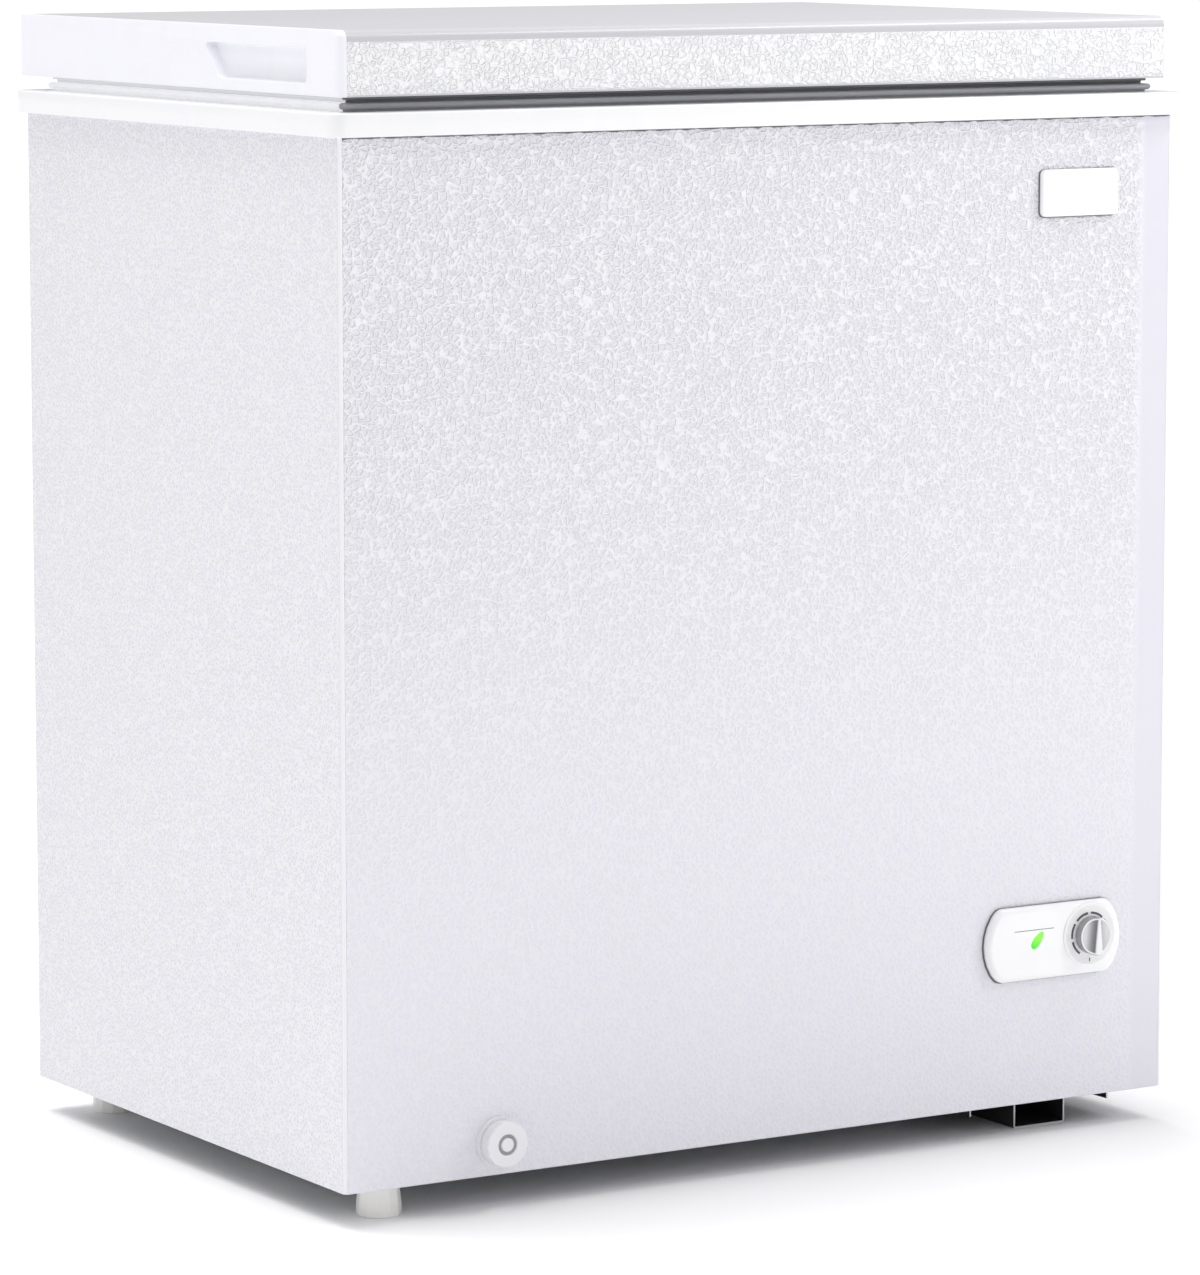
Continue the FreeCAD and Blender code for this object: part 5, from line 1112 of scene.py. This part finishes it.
# ------------------------------------------------------------------ vents, back and compressor bay
def side_grille():
    """Moulded grille on the right side: a rounded frame with slanted louvres across it."""
    (x0, x1), (y0, y1), (z0, z1) = span("side_vent_grille")
    proud = x1 - x0
    outline = rectangle(y0, y1, z0, z1)
    section = [(0, 0), (12 * MM, 0), (12 * MM, proud), (0, proud)]
    levels = round_off(section, [0.3 * MM, 0.3 * MM, 0.8 * MM, 1.6 * MM], 4)
    rim_shape = moulding(outline, 7 * MM, levels, lambda u, v, up: (x0 + up, u, v), closed=True, least=3 * MM)
    count = 8
    pitch = (z1 - z0 - 24 * MM) / count
    slant = [(x0 + 0.3 * MM, pitch * 0.95), (x0 + 2.0 * MM, pitch * 0.45), (x1 - 0.3 * MM, 0)]
    blade, radii = bent(slant, 1.1 * MM, 1.5 * MM)
    unit = unit_object(drawn(blade, radii, (y0 + 11.5 * MM, y1 - 11.5 * MM), lambda u, v, s: (u, s, v)))
    spots = [(0, 0, z0 + 12 * MM + pitch * i) for i in range(count)]
    blades = run_recipe(REPEAT, spots, Unit=unit, Turn=(0.0, 0.0, 0.0), Finish=satin_white)
    discard(unit)
    piece("side_grille", [rim_shape, blades], satin_white, "cabinet", ["side_vent_grille"])


def rear_cover():
    """Pressed cover over the compressor bay with rows of raised louvres and a bead round its edge."""
    (x0, x1), (y0, y1), (z0, z1) = span("rear_compartment_cover")
    sheet = y1 - y0
    outline = rectangle(x0, x1, z0, z1)
    levels = [(0, 0), (0, sheet), (9 * MM, sheet), (10.5 * MM, sheet + 1.2 * MM), (13 * MM, sheet + 1.2 * MM),
              (14.5 * MM, sheet), (40 * MM, sheet)]
    plate = moulding(outline, 4 * MM, levels, lambda u, v, up: (u, y0 + up, v))
    rows = 9
    pitch = 11 * MM
    blade, radii = bent([(y1 + 3.2 * MM, -3.4 * MM), (y1 + 2.4 * MM, 0.6 * MM), (y1 - 0.2 * MM, 3.0 * MM)],
                        0.9 * MM, 1.6 * MM)
    unit = unit_object(drawn(blade, radii, (x0 + 24 * MM, x1 - 24 * MM), lambda u, v, s: (s, u, v)))
    spots = [(0, 0, z1 - 28 * MM - pitch * i) for i in range(rows)]
    louvres = run_recipe(REPEAT, spots, Unit=unit, Turn=(0.0, 0.0, 0.0), Finish=galvanised)
    discard(unit)
    piece("rear_cover", [plate, louvres], galvanised, "cabinet", ["rear_compartment_cover"])


def compressor():
    """Hermetic pot in two pressed halves, welded round the middle, on its leg plate."""
    (x0, x1), (y0, y1), (z0, z1) = span("compressor_shell")
    x, y = (x0 + x1) / 2, (y0 + y1) / 2
    radius, seam_up = 68 * MM, 64 * MM
    tall = z1 - z0
    stations = [(30 * MM, 2 * MM, 0), (40 * MM, 6 * MM, 0), (56 * MM, 14 * MM, 0),
                (radius - 2 * MM, 30 * MM, 0), (radius, 42 * MM, 0), (radius, seam_up - 0.5 * MM, 0),
                (radius + 3 * MM, seam_up, 0),
                (radius + 3 * MM, seam_up + 4 * MM, 0), (radius - 1 * MM, seam_up + 4.6 * MM, 0),
                (radius - 1 * MM, tall - 40 * MM, 0), (radius - 7 * MM, tall - 18 * MM, 0),
                (radius - 24 * MM, tall - 4 * MM, 0), (radius - 46 * MM, tall, 0), (2 * MM, tall, 0)]
    pot = turned(stations, lambda u, v, up: (x + u, y + v, z0 + up))
    legs = moulding(rectangle(x0 + 10 * MM, x1 - 10 * MM, y0, y1), 9 * MM,
                    [(0, 0), (0, 2.6 * MM), (0.4 * MM, 3 * MM)], lambda u, v, up: (u, v, z0 + up))
    piece("compressor_pot", [pot, legs], black_paint, "cabinet", ["compressor_shell"],
          sharp=50)


def domed_screw(radius, tall):
    """A pan head with a dimple for its recess, standing up from the origin along +Y."""
    stations = [(radius, 0, 0), (radius, 0.3 * tall, 0), (0.86 * radius, 0.72 * tall, 0),
                (0.55 * radius, tall, 0), (0.34 * radius, tall, 0), (0.2 * radius, 0.55 * tall, 0),
                (0.05 * radius, 0.5 * tall, 0)]
    return turned(stations, lambda u, v, up: (u, up, v), count=24)


def screws(name, node, body, spots, radius, tall):
    """Screw heads at spots on a face that looks to the back."""
    unit = unit_object(domed_screw(radius, tall))
    heads = run_recipe(REPEAT, spots, Unit=unit, Turn=(0.0, 0.0, 0.0), Finish=zinc_plate)
    discard(unit)
    piece(name, [heads], zinc_plate, body, [node], sharp=50)


def all_rear_screws():
    """Heads on the rear cover, the hinge brackets and the hinge leaves."""
    (x0, x1), (y0, _), (z0, z1) = span("rear_cover_screws")
    head = 3.4 * MM
    screws("cover_screw_heads", "rear_cover_screws", "cabinet",
           [(x, y0, z) for x in (x0 + head, x1 - head) for z in (z0 + head, z1 - head)], head, 1.9 * MM)
    head = 4.2 * MM
    for node, body in (("hinge_bracket_screws", "cabinet"), ("hinge_leaf_screws", "lid")):
        (x0, x1), (y0, _), (z0, z1) = span(node)
        apart = 44 * MM
        columns = [x0 + head, x0 + head + apart, x1 - head - apart, x1 - head]
        spots = [(x, y0, z) for x in columns for z in (z0 + head, z1 - head)]
        screws(node + "_heads", node, body, spots, head, 2.1 * MM)


side_grille()
rear_cover()
compressor()
all_rear_screws()


# ------------------------------------------------------------------ finishes of the CAD pieces that stay
STAYING = {
    back_steel: ["back_panel"],
    galvanised: ["stepped_bottom_panel"],
    foam: ["cabinet_foam", "lid_foam"],
    black_plastic: ["thermostat_body", "compressor_relay_cover"],
    satin_white: ["drain_sleeve", "drain_pipe", "drain_spout", "inner_drain_plug"],
    zinc_plate: ["foot_screws", "base_plate_screws", "compressor_bolts", "thermostat_spindle",
                 "left_hinge_bracket", "right_hinge_bracket", "hinge_pins", "hinge_springs",
                 "left_hinge_leaf", "right_hinge_leaf"],
    black_rubber: ["compressor_grommets", "cord_gland"],
    copper: ["condenser_tube", "evaporator_tube", "suction_pipe", "filter_drier", "capillary_tube"],
    gloss_white: ["indicator_lamp"],
}
for finish, names in STAYING.items():
    for node in names:
        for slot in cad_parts[node].material_slots:
            slot.material = finish


# ------------------------------------------------------------------ studio
def floor():
    """Wide matt floor."""
    reach = 60.0
    shape = bmesh.new()
    rows = [[shape.verts.new((x, y, 0)) for x in (-reach, 0, reach)] for y in (-reach, 0, reach)]
    for near, far in zip(rows, rows[1:]):
        for i in (1, 2):
            shape.faces.new((near[i - 1], near[i], far[i], far[i - 1]))
    mesh = bpy.data.meshes.new("floor")
    shape.to_mesh(mesh)
    shape.free()
    mesh.materials.append(studio_floor())
    made = bpy.data.objects.new("floor", mesh)
    bpy.context.scene.collection.objects.link(made)


def softbox(name, place, target, size, power):
    """A white rectangular area light aimed at a point."""
    lamp = bpy.data.lights.new(name, "AREA")
    lamp.shape, lamp.size, lamp.size_y = "RECTANGLE", *size
    lamp.energy = power
    made = bpy.data.objects.new(name, lamp)
    made.location = place
    made.rotation_euler = (Vector(target) - Vector(place)).to_track_quat("-Z", "Y").to_euler()
    bpy.context.scene.collection.objects.link(made)


def studio():
    """Even surroundings, a wide soft light from overhead, and three softboxes.

    Two of the softboxes light the front and one the left side."""
    world = bpy.data.worlds.new("studio")
    bpy.context.scene.world = world
    world.use_nodes = True
    sky = world.node_tree.nodes["Background"]
    sky.inputs["Color"].default_value = (0.99, 0.99, 1.0, 1)
    sky.inputs["Strength"].default_value = 0.55
    sun = bpy.data.lights.new("overhead", "SUN")
    sun.energy, sun.angle = 1.9, math.radians(34)
    overhead = bpy.data.objects.new("overhead", sun)
    overhead.rotation_euler = (math.radians(-15), math.radians(-8), 0)
    bpy.context.scene.collection.objects.link(overhead)
    softbox("front_glance", (2.0, -1.5, 1.5), (0.2, -0.24, 0.4), (0.3, 0.3), 10)
    softbox("front_graze", (0.9, -0.75, 2.0), (0.3, -0.24, 0.5), (1.2, 0.25), 9)
    softbox("left_wash", (-1.7, -0.6, 2.2), (-0.36, 0.0, 0.6), (1.4, 0.6), 6)
    bpy.context.scene.view_settings.view_transform = "Standard"


def camera():
    """Long lens from the front left, a little above the lid."""
    yaw, pitch = math.radians(31.63), math.radians(7.536)
    lens_view = bpy.data.cameras.new("camera")
    lens_view.lens = 167.0
    made = bpy.data.objects.new("camera", lens_view)
    made.location = (-2.371, -3.853, 0.973)
    made.rotation_euler = (math.pi / 2 - pitch, 0, -yaw)
    bpy.context.scene.collection.objects.link(made)
    bpy.context.scene.camera = made


floor()
studio()
camera()
